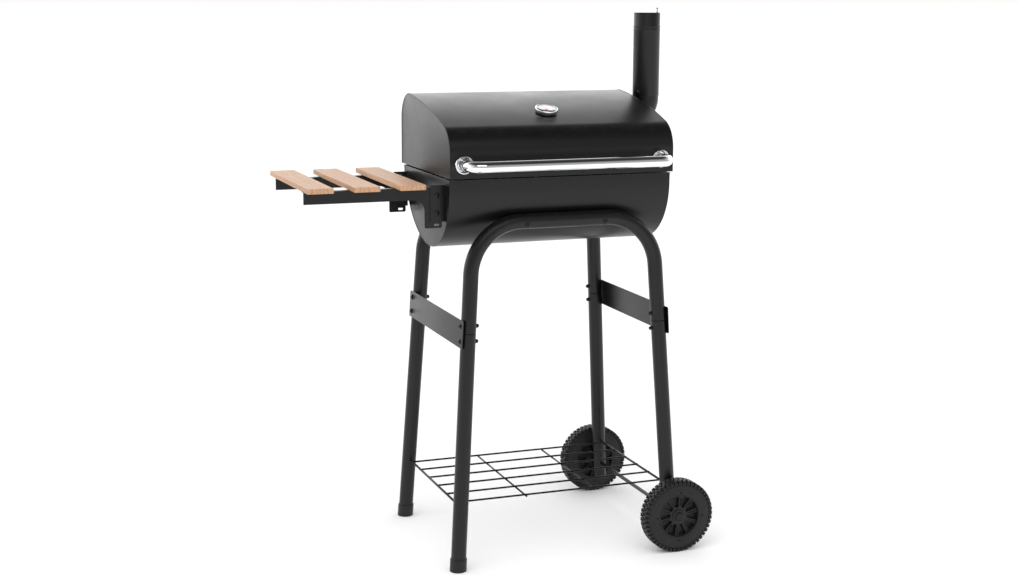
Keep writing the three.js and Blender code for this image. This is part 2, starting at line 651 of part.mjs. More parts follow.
// ---- grates and the ledges they lie on ----
function grateBars(low, high, bars, thick) {
  const [x0, y0, z0] = low
  const [x1, y1, z1] = high
  const edge = thick * 1.5
  const pieces = [
    box([x0, y0, z0], [x1, y0 + edge, z1]), box([x0, y1 - edge, z0], [x1, y1, z1]),
    box([x0, y0 + 1, z0], [x0 + edge, y1 - 1, z1]), box([x1 - edge, y0 + 1, z0], [x1, y1 - 1, z1]),
  ]
  for (let i = 1; i < bars; i++) {
    const x = x0 + ((x1 - x0) * i) / bars
    pieces.push(box([x - thick / 2, y0 + 1, z0 + 0.4], [x + thick / 2, y1 - 1, z1 - 0.4]))
  }
  return joined(...pieces)
}

function buildGrates() {
  const inside = bowl.halfLength - sheet - 4
  for (const [side, sign] of Object.entries(sides)) {
    const [x0, x1] = [sign * 1.5, sign * (inside - 1)].sort((a, b) => a - b)
    const low = [x0, bowl.front + 4, ledge.top + gap]
    const high = [x1, cookingGrate.rear, ledge.top + gap + cookingGrate.height]
    add(`cooking_grate_${side}`, grateBars(low, high, cookingGrate.bars, cookingGrate.bar), wireSteel)
  }
  const { front, rear, low, height, bars, bar } = charcoalGrate
  const lowerGrate = grateBars([-inside, front, low], [inside, rear, low + height], bars, bar)
  add('charcoal_grate', lowerGrate, wireSteel)

  const { top, width, drop, thickness } = ledge
  for (const [faceName, face] of Object.entries(faces)) {
    const wallY = -face * bowlWallAt(face, top - drop, sheet) + gap
    const angle = plateShape([
      [wallY, top], [wallY + width, top], [wallY + width, top - thickness],
      [wallY + thickness, top - thickness], [wallY + thickness, top - drop], [wallY, top - drop],
    ].reverse())
    const rail = extruded(angle, 2 * inside).applyQuaternion(sectionYZ).translate(-inside, 0, 0)
    add(`grate_ledge_${faceName}`, face < 0 ? rail : rail.rotateZ(Math.PI), blackPaint)
  }
}

// ---- side table ----
function buildArm() {
  const outline = plateShape([
    [arm.left, arm.top], [arm.left, arm.bottom], [arm.tabLeft, arm.bottom, arm.fillet],
    [arm.tabLeft, arm.tabBottom, arm.corner], [arm.right, arm.tabBottom, arm.corner],
    [arm.right, arm.top], [arm.left, arm.top],
  ])
  const slotRadius = 2
  const [slotLeft, slotRight, slotLow, slotHigh] = [-253, -243, 677.8, 682.2]
  outline.holes.push(roundedCorners(new THREE.Path(), [
    [slotLeft, slotHigh], [slotLeft, slotLow, slotRadius], [slotRight, slotLow, slotRadius],
    [slotRight, slotHigh, slotRadius], [slotLeft, slotHigh],
  ]))
  const web = extruded(outline, arm.thickness, 6).applyQuaternion(sectionXZ)
  const flangeLow = [arm.left, -arm.thickness, arm.top - arm.thickness]
  const flangeHigh = [arm.right - 8, arm.flange - arm.thickness, arm.top]
  return joined(web, box(flangeLow, flangeHigh))
}

function buildBracket() {
  const end = -bowl.halfLength - gap
  const { reach, depth, offset, thickness } = bracket
  const angle = plateShape([
    [end, -offset], [end, -offset - depth], [end - thickness, -offset - depth],
    [end - thickness, -offset - thickness], [end - reach, -offset - thickness], [end - reach, -offset],
  ].reverse())
  return extruded(angle, bracket.high - bracket.low).translate(0, 0, bracket.low)
}

function buildTable() {
  for (const [faceName, face] of Object.entries(faces)) {
    const pieces = [
      add(`table_arm_${faceName}`, buildArm(), blackPaint),
      add(`table_bracket_${faceName}`, buildBracket(), blackPaint),
    ]
    for (const mesh of pieces) {
      mesh.position.y = face * arm.y
      if (face > 0) mirrorY(mesh)
    }
  }

  const half = table.slatWidth / 2
  const bottom = -table.slatThickness
  const [lowerRound, upperRound] = [1.6, 2.6]
  const names = ['left', 'middle', 'right']
  names.forEach((name, i) => {
    const slat = plateShape([
      [-half, bottom / 2], [-half, bottom, lowerRound], [half, bottom, lowerRound], [half, 0, upperRound],
      [-half, 0, upperRound], [-half, bottom / 2],
    ])
    const mesh = add(`table_slat_${name}`, extruded(slat, 2 * table.slatHalfLength, 3), paleWood)
    mesh.quaternion.copy(sectionXZ)
    const x = table.left + half + i * table.slatPitch
    mesh.position.set(x, table.slatHalfLength, table.slatBottom - bottom)
  })
}

// The rear table pieces are the front ones seen in a mirror, so their triangles are turned over too.
function mirrorY(mesh) {
  const geometry = mesh.geometry.index ? mesh.geometry : mergeVertices(mesh.geometry)
  geometry.scale(1, -1, 1)
  const index = geometry.index.array
  for (let i = 0; i < index.length; i += 3) {
    const first = index[i]
    index[i] = index[i + 1]
    index[i + 1] = first
  }
  mesh.geometry = geometry
}

buildLid()
buildBowl()
buildVent()
buildHinges()
buildHandle()
buildGauge()
buildChimney()
buildFrame()
buildSidePlates()
buildWheels()
buildRack()
buildGrates()
buildTable()

// The origin is on the floor under the middle of everything, from the table's end to the wheels' rims.
grill.position.x = -(table.left + wheelX + wheel.radius) / 2

export default grill
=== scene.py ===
import json
import math

import bmesh
import bpy
from bpy.props import FloatProperty, FloatVectorProperty, IntProperty, PointerProperty
from mathutils import Matrix, Vector


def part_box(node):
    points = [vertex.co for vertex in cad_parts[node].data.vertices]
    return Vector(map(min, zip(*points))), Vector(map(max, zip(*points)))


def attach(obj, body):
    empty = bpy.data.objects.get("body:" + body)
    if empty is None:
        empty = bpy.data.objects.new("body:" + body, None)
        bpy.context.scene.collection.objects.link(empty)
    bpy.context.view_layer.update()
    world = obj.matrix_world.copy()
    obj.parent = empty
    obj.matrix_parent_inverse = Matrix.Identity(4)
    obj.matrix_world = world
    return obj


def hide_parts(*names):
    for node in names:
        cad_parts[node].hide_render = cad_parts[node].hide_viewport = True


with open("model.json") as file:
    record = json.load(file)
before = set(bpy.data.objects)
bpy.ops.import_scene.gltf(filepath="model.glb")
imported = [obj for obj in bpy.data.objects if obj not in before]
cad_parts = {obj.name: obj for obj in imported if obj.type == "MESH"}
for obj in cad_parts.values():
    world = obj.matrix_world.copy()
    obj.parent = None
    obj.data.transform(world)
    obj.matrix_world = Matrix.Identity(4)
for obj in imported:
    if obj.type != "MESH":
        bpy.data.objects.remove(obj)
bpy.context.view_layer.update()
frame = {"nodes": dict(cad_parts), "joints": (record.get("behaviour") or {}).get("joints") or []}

bl_info = {
    "name": "Barrel Grill",
    "version": (1, 0, 0),
    "blender": (4, 5, 0),
    "location": "View3D > Sidebar > Barrel Grill",
    "description": "Builds the looks of a barrel charcoal grill around its packed frame",
    "category": "Add Mesh",
}

MM = 0.001
JOINTS = {joint["name"]: joint for joint in frame["joints"]}
FACES = {"front": -1, "rear": 1}
SIDES = {"left": -1, "right": 1}
X, Y, Z = Vector((1, 0, 0)), Vector((0, 1, 0)), Vector((0, 0, 1))
TROLLEY = "trolley_and_bowl"
VENT_RING = 20 * MM
VENT_HOLE = 8 * MM
RIVET_OFFSET = 13 * MM
WASHER = 0.8 * MM
SHARP_ANGLE = math.radians(38)


def joint_place(name):
    return Vector(JOINTS[name]["pos_m"])


WHEEL_X = joint_place("front_wheel_spin").x
WHEEL_RADIUS = joint_place("front_wheel_spin").z
LID_LOW, LID_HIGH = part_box("lid_end_left")[0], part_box("lid_end_right")[1]
BOWL_LOW, BOWL_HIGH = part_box("bowl_end_left")[0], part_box("bowl_end_right")[1]
MIDDLE_X = (LID_LOW.x + LID_HIGH.x) / 2


# ---- sizes and colours that a user would change ----
def amount(name, description, default, **limits):
    return FloatProperty(name=name, description=description, default=default, **limits)


def level(name, description, default, **limits):
    return amount(name, description, default, min=0, **limits)


def length(name, description, default):
    return level(name, description, default, unit="LENGTH", precision=4)


def coordinate(name, description, default):
    return amount(name, description, default, unit="LENGTH", precision=4)


def tilt_angle(name, description, degrees):
    return amount(name, description, math.radians(degrees), subtype="ANGLE")


def colour(name, description, default):
    return FloatVectorProperty(name=name, description=description, default=default, size=3, min=0, max=1,
                               subtype="COLOR")


def share(name, description, default):
    return level(name, description, default, max=1, subtype="FACTOR")


class BarrelSettings(bpy.types.PropertyGroup):
    """Sizes of the lid and bowl."""
    sheet: length("Sheet", "Thickness of the barrel's steel", 1.2 * MM)
    lid_meet_y: coordinate("Top meets at", "Where the lines of the lid's top meet, along Y", -8 * MM)
    lid_meet_z: length("Top meets up", "Height where the lines of the lid's top meet", 907.6 * MM)
    lid_front_slope: amount("Front slope", "Slope of the lid's top at its front", 0.337)
    lid_rear_slope: amount("Rear slope", "Slope of the lid's top at its rear", 0.092)
    lid_lift: length("Seam", "How far the lid's lip stands clear of the bowl", 1.3 * MM)
    lid_crown: length("Crown", "Radius of the lid's crowned top", 900 * MM)
    lid_front_radius: length("Front shoulder", "Radius of the lid's front shoulder", 54 * MM)
    lid_rear_radius: length("Rear shoulder", "Radius of the lid's rear shoulder", 55 * MM)
    bowl_middle: coordinate("Bowl middle", "Where the bowl's two arcs meet, along Y", -27 * MM)
    bowl_front_radius: length("Bowl front", "Radius of the bowl's front arc", 125 * MM)
    bowl_rear_radius: length("Bowl rear", "Radius of the bowl's rear arc", 180 * MM)
    bowl_rim: length("Bowl rim", "How far the bowl's front lip turns out", 4 * MM)
    seam_bead: length("Seam bead", "Radius of the rolled seam round each end", 1.0 * MM)


class TrolleySettings(bpy.types.PropertyGroup):
    """Sizes of the tube frame and its fastenings."""
    tube_radius: length("Tube radius", "Outside radius of legs and upper tubes", 15 * MM)
    tube_wall: length("Tube wall", "Wall of the tubes", 1.5 * MM)
    half_spread: length("Half spread", "From the frame's middle to a leg at the floor, along X", 231 * MM)
    half_depth: length("Half depth", "From the frame's middle to a leg at the floor, along Y", 182 * MM)
    lean_x: amount("Lean in X", "How far a leg leans in for each metre up", 0.0612)
    lean_y: amount("Lean in Y", "How far a leg leans in for each metre up", 0.0449)
    top: length("Top run", "Height of the upper tubes' top runs", 683.3 * MM)
    bend: length("Bend", "Centre line radius of the upper tubes' corners", 105 * MM)
    joint_height: length("Leg joint", "Height where upper tubes meet the lower legs", 471 * MM)
    bolt_head: length("Bolt head", "Radius of a domed bolt head", 5.4 * MM)
    rack_wire: length("Rack wire", "Radius of the rack's thin wires", 1.9 * MM)
    grate_wire: length("Grate wire", "Radius of the cooking grates' wires", 2 * MM)


class WheelSettings(bpy.types.PropertyGroup):
    """Sizes of the moulded wheels."""
    knobs: IntProperty(name="Knobs", description="Tread knobs on each side of a wheel", default=48, min=8)
    spokes: IntProperty(name="Spokes", description="Box spokes in the hub recess", default=10, min=3)
    recess: length("Recess radius", "Radius of the hub recess", 41.5 * MM)
    hub: length("Hub radius", "Radius of the hub", 19 * MM)
    sidewall: length("Sidewall radius", "Outer radius of the flat sidewall", 60 * MM)


class FinishSettings(bpy.types.PropertyGroup):
    """Colours and gloss."""
    paint: colour("Paint", "Satin heat paint", (0.0042, 0.0043, 0.0046))
    paint_roughness: share("Paint roughness", "Middle roughness of the paint", 0.33)
    plastic: colour("Plastic", "Moulded wheels and foot caps", (0.008, 0.008, 0.0085))
    wood_light: colour("Light wood", "Wood between the grain lines", (0.50, 0.295, 0.17))
    wood_dark: colour("Dark wood", "The grain lines", (0.33, 0.155, 0.072))
    chrome: colour("Chrome", "Plated handle and thermometer", (0.90, 0.91, 0.92))
    zinc: colour("Zinc", "Plated pins and axle", (0.55, 0.56, 0.57))


class StudioSettings(bpy.types.PropertyGroup):
    """Camera, light and floor."""
    camera: FloatVectorProperty(name="Camera", description="Camera's place",
                                default=(-1.0607, -2.9976, 1.1153), subtype="TRANSLATION")
    azimuth: tilt_angle("Azimuth", "Camera's turn about Z", -20.34)
    elevation: tilt_angle("Elevation", "How far the camera looks down", 10.47)
    roll: tilt_angle("Roll", "Camera's roll", 0.24)
    lens: amount("Lens", "Focal length in millimetres", 55.87, min=1)
    surround: level("Surround", "Brightness of the studio's walls", 1.0)
    ceiling: level("Ceiling", "Brightness of the ceiling in reflections", 0.05)
    ambient: level("Ambient", "Soft light from all round", 1.06)
    key: level("Key", "Strength of the soft key light", 0.65)
    front: level("Front", "The front wall's share of the surround", 0.42)
    rear: level("Rear", "The rear wall's share of the surround", 2.35)
    softbox: level("Softbox", "Power of the softbox above the front", 24, unit="POWER")
    floor: colour("Floor", "The pale floor", (0.93, 0.93, 0.93))


class GrillSettings(bpy.types.PropertyGroup):
    """All the settings of the grill."""
    barrel: PointerProperty(type=BarrelSettings)
    trolley: PointerProperty(type=TrolleySettings)
    wheel: PointerProperty(type=WheelSettings)
    finish: PointerProperty(type=FinishSettings)
    studio: PointerProperty(type=StudioSettings)


def settings():
    return bpy.context.scene.grill


# ---- lines and outlines ----
def rounded(corners, closed=False, steps=12):
    """Points of a line through corners (..., radius), in two or three dimensions, rounded by arcs."""
    points = []
    count = len(corners)
    for i, (*place, radius) in enumerate(corners):
        here = Vector(place)
        if radius == 0 or (not closed and i in (0, count - 1)):
            points.append(here)
            continue
        back = (Vector(corners[i - 1][:-1]) - here).normalized()
        on = (Vector(corners[(i + 1) % count][:-1]) - here).normalized()
        half = back.angle(on) / 2
        bent = math.pi - 2 * half
        centre = here + (back + on).normalized() * radius / math.sin(half)
        start = here + back * radius / math.tan(half) - centre
        end = here + on * radius / math.tan(half) - centre
        for k in range(steps + 1):
            t = k / steps
            between = start * math.sin((1 - t) * bent) + end * math.sin(t * bent)
            points.append(centre + between / math.sin(bent))
    return points


def arc(centre, radius, first, last, steps):
    """Points on a circle, angles in degrees."""
    angles = [math.radians(first + (last - first) * k / steps) for k in range(steps + 1)]
    return [Vector((centre[0] + radius * math.cos(a), centre[1] + radius * math.sin(a))) for a in angles]


def circle(centre, radius, steps=24):
    return arc(centre, radius, 0, 360, steps)[:-1]


def in_mm(*pairs):
    """Takes pairs of millimetres to metres."""
    return [(a * MM, b * MM) for a, b in pairs]


def spoke_ring(side, other, count):
    """Directions all round, from two that stand square to each other."""
    angles = [2 * math.pi * k / count for k in range(count)]
    return [side * math.cos(a) + other * math.sin(a) for a in angles]


# ---- mesh work ----
def sweep(bm, points, radius, sides=20, inner=0.0, closed=False):
    """A round bar along points, or a tube if inner is given."""
    count = len(points)
    tangents = []
    for i in range(count):
        before = points[i - 1] if i or closed else points[i]
        after = points[(i + 1) % count] if i < count - 1 or closed else points[i]
        tangents.append((after - before).normalized())
    normal = tangents[0].orthogonal().normalized()
    outside, inside = [], []
    for place, tangent in zip(points, tangents):
        normal = (normal - tangent * normal.dot(tangent)).normalized()
        spokes = spoke_ring(normal, tangent.cross(normal), sides)
        outside.append([bm.verts.new(place + spoke * radius) for spoke in spokes])
        if inner:
            inside.append([bm.verts.new(place + spoke * inner) for spoke in spokes])
    for rings in filter(None, (outside, inside)):
        pairs = zip(rings, rings[1:] + rings[:1]) if closed else zip(rings, rings[1:])
        for a, b in pairs:
            join_rings(bm, a, b)
    if closed:
        return
    if inner:
        join_rings(bm, outside[0], inside[0])
        join_rings(bm, outside[-1], inside[-1])
    else:
        bm.faces.new(outside[0])
        bm.faces.new(outside[-1])


def join_rings(bm, a, b):
    for k in range(max(len(a), len(b))):
        corners = [a[k % len(a)], a[(k + 1) % len(a)], b[(k + 1) % len(b)], b[k % len(b)]]
        bm.faces.new(list(dict.fromkeys(corners)))


def turn(bm, profile, origin, axis=Z, segments=40, closed=False):
    """Turns (radius, height) pairs about an axis. An open profile starts and ends on the axis."""
    axis = Vector(axis).normalized()
    side = axis.orthogonal().normalized()
    spokes = spoke_ring(side, axis.cross(side), segments)
    rings = []
    for radius, height in profile:
        centre = Vector(origin) + axis * height
        if radius == 0:
            rings.append([bm.verts.new(centre)])
            continue
        rings.append([bm.verts.new(centre + spoke * radius) for spoke in spokes])
    pairs = list(zip(rings, rings[1:]))
    if closed:
        pairs.append((rings[-1], rings[0]))
    for a, b in pairs:
        join_rings(bm, a, b)


def block(bm, low, high):
    """A box, which the piece's bevel rounds."""
    corners = [bm.verts.new((x, y, z)) for x in (low[0], high[0]) for y in (low[1], high[1])
               for z in (low[2], high[2])]
    for face in ((0, 1, 3, 2), (4, 6, 7, 5), (0, 4, 5, 1), (2, 3, 7, 6), (0, 2, 6, 4), (1, 5, 7, 3)):
        bm.faces.new([corners[k] for k in face])


def prism(bm, outline, place, depth):
    """Extrudes an outline: place maps its two numbers and a depth of 0 or more to a point."""
    rings = [[bm.verts.new(place(a, b, d)) for a, b in outline] for d in (0, depth)]
    join_rings(bm, *rings)
    for ring in rings:
        bm.faces.new(ring)


def add_curve(bm, curve, matrix):
    """Adds the mesh of a curve or a text, moved by a matrix."""
    holder = bpy.data.objects.new("outline", curve)
    bpy.context.scene.collection.objects.link(holder)
    bpy.context.view_layer.update()
    mesh = bpy.data.meshes.new_from_object(holder.evaluated_get(bpy.context.evaluated_depsgraph_get()))
    bpy.data.objects.remove(holder)
    bpy.data.curves.remove(curve)
    mesh.transform(matrix)
    bm.from_mesh(mesh)
    bpy.data.meshes.remove(mesh)


def add_plate(bm, outlines, thickness, edge, matrix):
    """A flat plate with holes and rounded edges, centred on z = 0. The first outline is its outside."""
    curve = bpy.data.curves.new("outline", "CURVE")
    curve.dimensions = "2D"
    curve.fill_mode = "BOTH"
    curve.extrude = thickness / 2 - edge
    curve.bevel_depth = edge
    curve.bevel_resolution = 2
    curve.offset = -edge
    for outline in outlines:
        spline = curve.splines.new("POLY")
        spline.points.add(len(outline) - 1)
        for point, (a, b) in zip(spline.points, outline):
            point.co = (a, b, 0, 1)
        spline.use_cyclic_u = True
    add_curve(bm, curve, matrix)


def yz_matrix(x, y=0.0, z=0.0):
    """Takes a plate drawn in two dimensions to Y and Z, its thickness along X."""
    return Matrix(((0, 0, 1, x), (1, 0, 0, y), (0, 1, 0, z), (0, 0, 0, 1)))


def finish_piece(name, bm, body, slot, replaces=(), bevel=0.0):
    """Turns the bmesh into a piece with its finish, riding on its body."""
    bmesh.ops.remove_doubles(bm, verts=bm.verts, dist=1e-7)
    bmesh.ops.recalc_face_normals(bm, faces=bm.faces)
    mesh = bpy.data.meshes.new(name)
    bm.to_mesh(mesh)
    bm.free()
    mesh.shade_smooth()
    mesh.set_sharp_from_angle(angle=SHARP_ANGLE)
    mesh.materials.append(material(slot))
    piece = bpy.data.objects.new(name, mesh)
    bpy.context.scene.collection.objects.link(piece)
    if bevel:
        round_edges(piece, bevel)
    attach(piece, body)
    if replaces:
        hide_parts(*replaces)
    return piece


def round_edges(piece, width):
    bevel = piece.modifiers.new("rounded edges", "BEVEL")
    bevel.width = width
    bevel.segments = 2
    bevel.limit_method = "ANGLE"
    bevel.angle_limit = math.radians(40)
    bevel.harden_normals = True


def keep_node(node, slot, edge=0.0):
    """A CAD node that stays in view gets its finish and lightly rounded edges."""
    piece = frame["nodes"][node]
    piece.data.materials.clear()
    piece.data.materials.append(material(slot))
    if edge:
        round_edges(piece, edge)


# ---- node groups that several finishes share ----
def new_group(name, inputs, output):
    """A group with numbers for its inputs and one number as its output."""
    group = bpy.data.node_groups.new(name, "ShaderNodeTree")
    for socket, default in inputs.items():
        item = group.interface.new_socket(name=socket, in_out="INPUT", socket_type="NodeSocketFloat")
        item.default_value = default
    group.interface.new_socket(name=output, in_out="OUTPUT", socket_type="NodeSocketFloat")
    return group, group.nodes.new("NodeGroupInput"), group.nodes.new("NodeGroupOutput")


def noise(nodes, links, vector, scale, detail=3.0, rough=0.55):
    texture = nodes.new("ShaderNodeTexNoise")
    links.new(vector, texture.inputs["Vector"])
    if isinstance(scale, (int, float)):
        texture.inputs["Scale"].default_value = scale
    else:
        links.new(scale, texture.inputs["Scale"])
    texture.inputs["Detail"].default_value = detail
    texture.inputs["Roughness"].default_value = rough
    return texture.outputs["Fac"]


def map_range(nodes, links, value, low, high, to_low, to_high):
    """Maps a value between numbers or sockets."""
    node = nodes.new("ShaderNodeMapRange")
    links.new(value, node.inputs["Value"])
    for socket, limit in (("From Min", low), ("From Max", high), ("To Min", to_low), ("To Max", to_high)):
        if isinstance(limit, (int, float)):
            node.inputs[socket].default_value = limit
        else:
            links.new(limit, node.inputs[socket])
    return node.outputs["Result"]


def times(nodes, links, a, b):
    node = nodes.new("ShaderNodeMath")
    node.operation = "MULTIPLY"
    for socket, value in zip(node.inputs, (a, b)):
        if isinstance(value, (int, float)):
            socket.default_value = value
        else:
            links.new(value, socket)
    return node.outputs[0]


def mottle_group():
    """Slow variation of gloss, with fingertip-sized patches and a finer layer over them."""
    group, inputs, outputs = new_group("mottle", {"Low": 0.3, "High": 0.4, "Scale": 9.0}, "Value")
    nodes, links = group.nodes, group.links
    place = nodes.new("ShaderNodeTexCoord").outputs["Object"]
    given = inputs.outputs
    broad = noise(nodes, links, place, given["Scale"])
    fine = noise(nodes, links, place, times(nodes, links, given["Scale"], 14.0))
    both = nodes.new("ShaderNodeMath")
    both.operation = "MULTIPLY_ADD"
    links.new(fine, both.inputs[0])
    both.inputs[1].default_value = 0.35
    links.new(broad, both.inputs[2])
    value = map_range(nodes, links, both.outputs[0], 0.42, 0.92, given["Low"], given["High"])
    links.new(value, outputs.inputs["Value"])
    return group


def stipple_group():
    """The tiny relief of sprayed paint or a moulded surface, as a height."""
    group, inputs, outputs = new_group("stipple", {"Scale": 900.0, "Waviness": 0.3}, "Height")
    nodes, links = group.nodes, group.links
    place = nodes.new("ShaderNodeTexCoord").outputs["Object"]
    grain = noise(nodes, links, place, inputs.outputs["Scale"], detail=2.0)
    waves = noise(nodes, links, place, 38.0, detail=1.0)
    mix = nodes.new("ShaderNodeMix")
    links.new(inputs.outputs["Waviness"], mix.inputs["Factor"])
    links.new(grain, mix.inputs["A"])
    links.new(waves, mix.inputs["B"])
    links.new(mix.outputs["Result"], outputs.inputs["Height"])
    return group


def edge_wear_and_highlight_group():
    """Where an outside edge gets a painted highlight and rubbed wear: 1 on the edge, broken up along it."""
    group, inputs, outputs = new_group("rubbed edge and painted highlight", {"Width": 0.0008, "Amount": 0.5}, "Mask")
    nodes, links = group.nodes, group.links
    place = nodes.new("ShaderNodeTexCoord").outputs["Object"]
    softened = nodes.new("ShaderNodeBevel")
    softened.samples = 4
    links.new(inputs.outputs["Width"], softened.inputs["Radius"])
    dot = nodes.new("ShaderNodeVectorMath")
    dot.operation = "DOT_PRODUCT"
    links.new(softened.outputs["Normal"], dot.inputs[0])
    links.new(nodes.new("ShaderNodeNewGeometry").outputs["Normal"], dot.inputs[1])
    near = map_range(nodes, links, dot.outputs["Value"], 0.99, 0.80, 0.0, inputs.outputs["Amount"])
    patches = map_range(nodes, links, noise(nodes, links, place, 120.0), 0.35, 0.65, 0.25, 1.0)
    links.new(times(nodes, links, near, patches), outputs.inputs["Mask"])
    return group


def dust_group():
    """A thin settling of dust on faces that look up."""
    group, inputs, outputs = new_group("dust", {"Amount": 0.1}, "Mask")
    nodes, links = group.nodes, group.links
    place = nodes.new("ShaderNodeTexCoord").outputs["Object"]
    split = nodes.new("ShaderNodeSeparateXYZ")
    links.new(nodes.new("ShaderNodeTexCoord").outputs["Normal"], split.inputs[0])
    upward = map_range(nodes, links, split.outputs["Z"], 0.3, 1.0, 0.0, inputs.outputs["Amount"])
    specks = map_range(nodes, links, noise(nodes, links, place, 60.0, 6.0, 0.7), 0.45, 0.75, 0.1, 1.0)
    links.new(times(nodes, links, upward, specks), outputs.inputs["Mask"])
    return group


GROUPS = {"mottle": mottle_group, "stipple": stipple_group, "rubbed edge and painted highlight": edge_wear_and_highlight_group, "dust": dust_group}


def place_group(nodes, name, **values):
    node = nodes.new("ShaderNodeGroup")
    node.node_tree = bpy.data.node_groups.get(name) or GROUPS[name]()
    for socket, value in values.items():
        node.inputs[socket].default_value = value
    return node.outputs[0]


# ---- finishes ----
def new_material(name, base, metallic=0.0, roughness=0.4, ior=1.5):
    made = bpy.data.materials.new(name)
    made.use_nodes = True
    shader = made.node_tree.nodes["Principled BSDF"]
    shader.inputs["Base Color"].default_value = (*base, 1)
    shader.inputs["Metallic"].default_value = metallic
    shader.inputs["Roughness"].default_value = roughness
    shader.inputs["IOR"].default_value = ior
    made.diffuse_color = (*base, 1)
    return made, made.node_tree.nodes, made.node_tree.links, shader


def relief(nodes, links, shader, height, strength, distance):
    bump = nodes.new("ShaderNodeBump")
    bump.inputs["Strength"].default_value = strength
    bump.inputs["Distance"].default_value = distance
    links.new(height, bump.inputs["Height"])
    links.new(bump.outputs["Normal"], shader.inputs["Normal"])


def blend_colour(nodes, links, factor, a, b):
    """Mixes two colours, each a tuple or a socket."""
    mix = nodes.new("ShaderNodeMix")
    mix.data_type = "RGBA"
    links.new(factor, mix.inputs["Factor"])
    for socket, value in ((mix.inputs[6], a), (mix.inputs[7], b)):
        if isinstance(value, tuple):
            socket.default_value = (*value, 1)
        else:
            links.new(value, socket)
    return mix.outputs[2]


def black_paint():
    choice = settings().finish
    base, middle = tuple(choice.paint), choice.paint_roughness
    made, nodes, links, shader = new_material("satin heat paint", base, roughness=middle, ior=1.41)
    links.new(place_group(nodes, "mottle", Low=middle - 0.045, High=middle + 0.05, Scale=7.0),
              shader.inputs["Roughness"])
    # Outside edges are lightened: a painted edge highlight, together with rubbed wear.
    edge_highlight_and_wear = place_group(nodes, "rubbed edge and painted highlight", Width=0.0007, Amount=0.4)
    with_edge_highlight = blend_colour(nodes, links, edge_highlight_and_wear, base, (0.07, 0.07, 0.073))
    dust = place_group(nodes, "dust", Amount=0.03)
    links.new(blend_colour(nodes, links, dust, with_edge_highlight, (0.32, 0.31, 0.29)), shader.inputs["Base Color"])
    relief(nodes, links, shader, place_group(nodes, "stipple", Scale=1300.0, Waviness=0.25), 0.16, 0.0004)
    return made


def black_plastic():
    base = tuple(settings().finish.plastic)
    made, nodes, links, shader = new_material("moulded black plastic", base, roughness=0.5, ior=1.42)
    links.new(place_group(nodes, "mottle", Low=0.42, High=0.58, Scale=16.0), shader.inputs["Roughness"])
    # Outside edges are lightened: a painted edge highlight, together with rubbed wear.
    edge_highlight_and_wear = place_group(nodes, "rubbed edge and painted highlight", Width=0.0009, Amount=0.5)
    with_edge_highlight = blend_colour(nodes, links, edge_highlight_and_wear, base, (0.05, 0.05, 0.052))
    dust = place_group(nodes, "dust", Amount=0.06)
    links.new(blend_colour(nodes, links, dust, with_edge_highlight, (0.3, 0.29, 0.27)), shader.inputs["Base Color"])
    relief(nodes, links, shader, place_group(nodes, "stipple", Scale=1900.0, Waviness=0.1), 0.3, 0.0004)
    return made


def chrome():
    base = tuple(settings().finish.chrome)
    made, nodes, links, shader = new_material("polished chrome", base, metallic=1.0, roughness=0.06)
    links.new(place_group(nodes, "mottle", Low=0.03, High=0.10, Scale=22.0), shader.inputs["Roughness"])
    relief(nodes, links, shader, place_group(nodes, "stipple", Scale=260.0, Waviness=0.8), 0.03, 0.0004)
    return made


def zinc_steel():
    base = tuple(settings().finish.zinc)
    made, nodes, links, shader = new_material("bright zinc", base, metallic=1.0, roughness=0.32)
    links.new(place_group(nodes, "mottle", Low=0.24, High=0.44, Scale=60.0), shader.inputs["Roughness"])
    tint = place_group(nodes, "mottle", Low=0.0, High=1.0, Scale=40.0)
    links.new(blend_colour(nodes, links, tint, base, (0.48, 0.47, 0.42)), shader.inputs["Base Color"])
    relief(nodes, links, shader, place_group(nodes, "stipple", Scale=700.0, Waviness=0.2), 0.15, 0.0003)
    return made


def grate_steel():
    base = (0.58, 0.58, 0.58)
    made, nodes, links, shader = new_material("plated grate wire", base, metallic=1.0, roughness=0.3)
    links.new(place_group(nodes, "mottle", Low=0.2, High=0.42, Scale=30.0), shader.inputs["Roughness"])
    dull = place_group(nodes, "mottle", Low=0.0, High=1.0, Scale=18.0)
    links.new(blend_colour(nodes, links, dull, base, (0.42, 0.41, 0.40)), shader.inputs["Base Color"])
    return made


def rack_wire():
    base = (0.003, 0.003, 0.0033)
    made, nodes, links, shader = new_material("black coated wire", base, roughness=0.4, ior=1.3)
    links.new(place_group(nodes, "mottle", Low=0.33, High=0.5, Scale=40.0), shader.inputs["Roughness"])
    dust = place_group(nodes, "dust", Amount=0.08)
    links.new(blend_colour(nodes, links, dust, base, (0.3, 0.29, 0.27)), shader.inputs["Base Color"])
    return made


def dial_white():
    base = (0.93, 0.93, 0.91)
    made, nodes, links, shader = new_material("printed dial", base, roughness=0.45)
    shade = place_group(nodes, "mottle", Low=0.0, High=0.6, Scale=80.0)
    links.new(blend_colour(nodes, links, shade, base, (0.88, 0.87, 0.84)), shader.inputs["Base Color"])
    return made


def needle_red():
    base = (0.5, 0.025, 0.018)
    made, nodes, links, shader = new_material("red needle paint", base, roughness=0.4)
    links.new(place_group(nodes, "mottle", Low=0.32, High=0.5, Scale=200.0), shader.inputs["Roughness"])
    return made


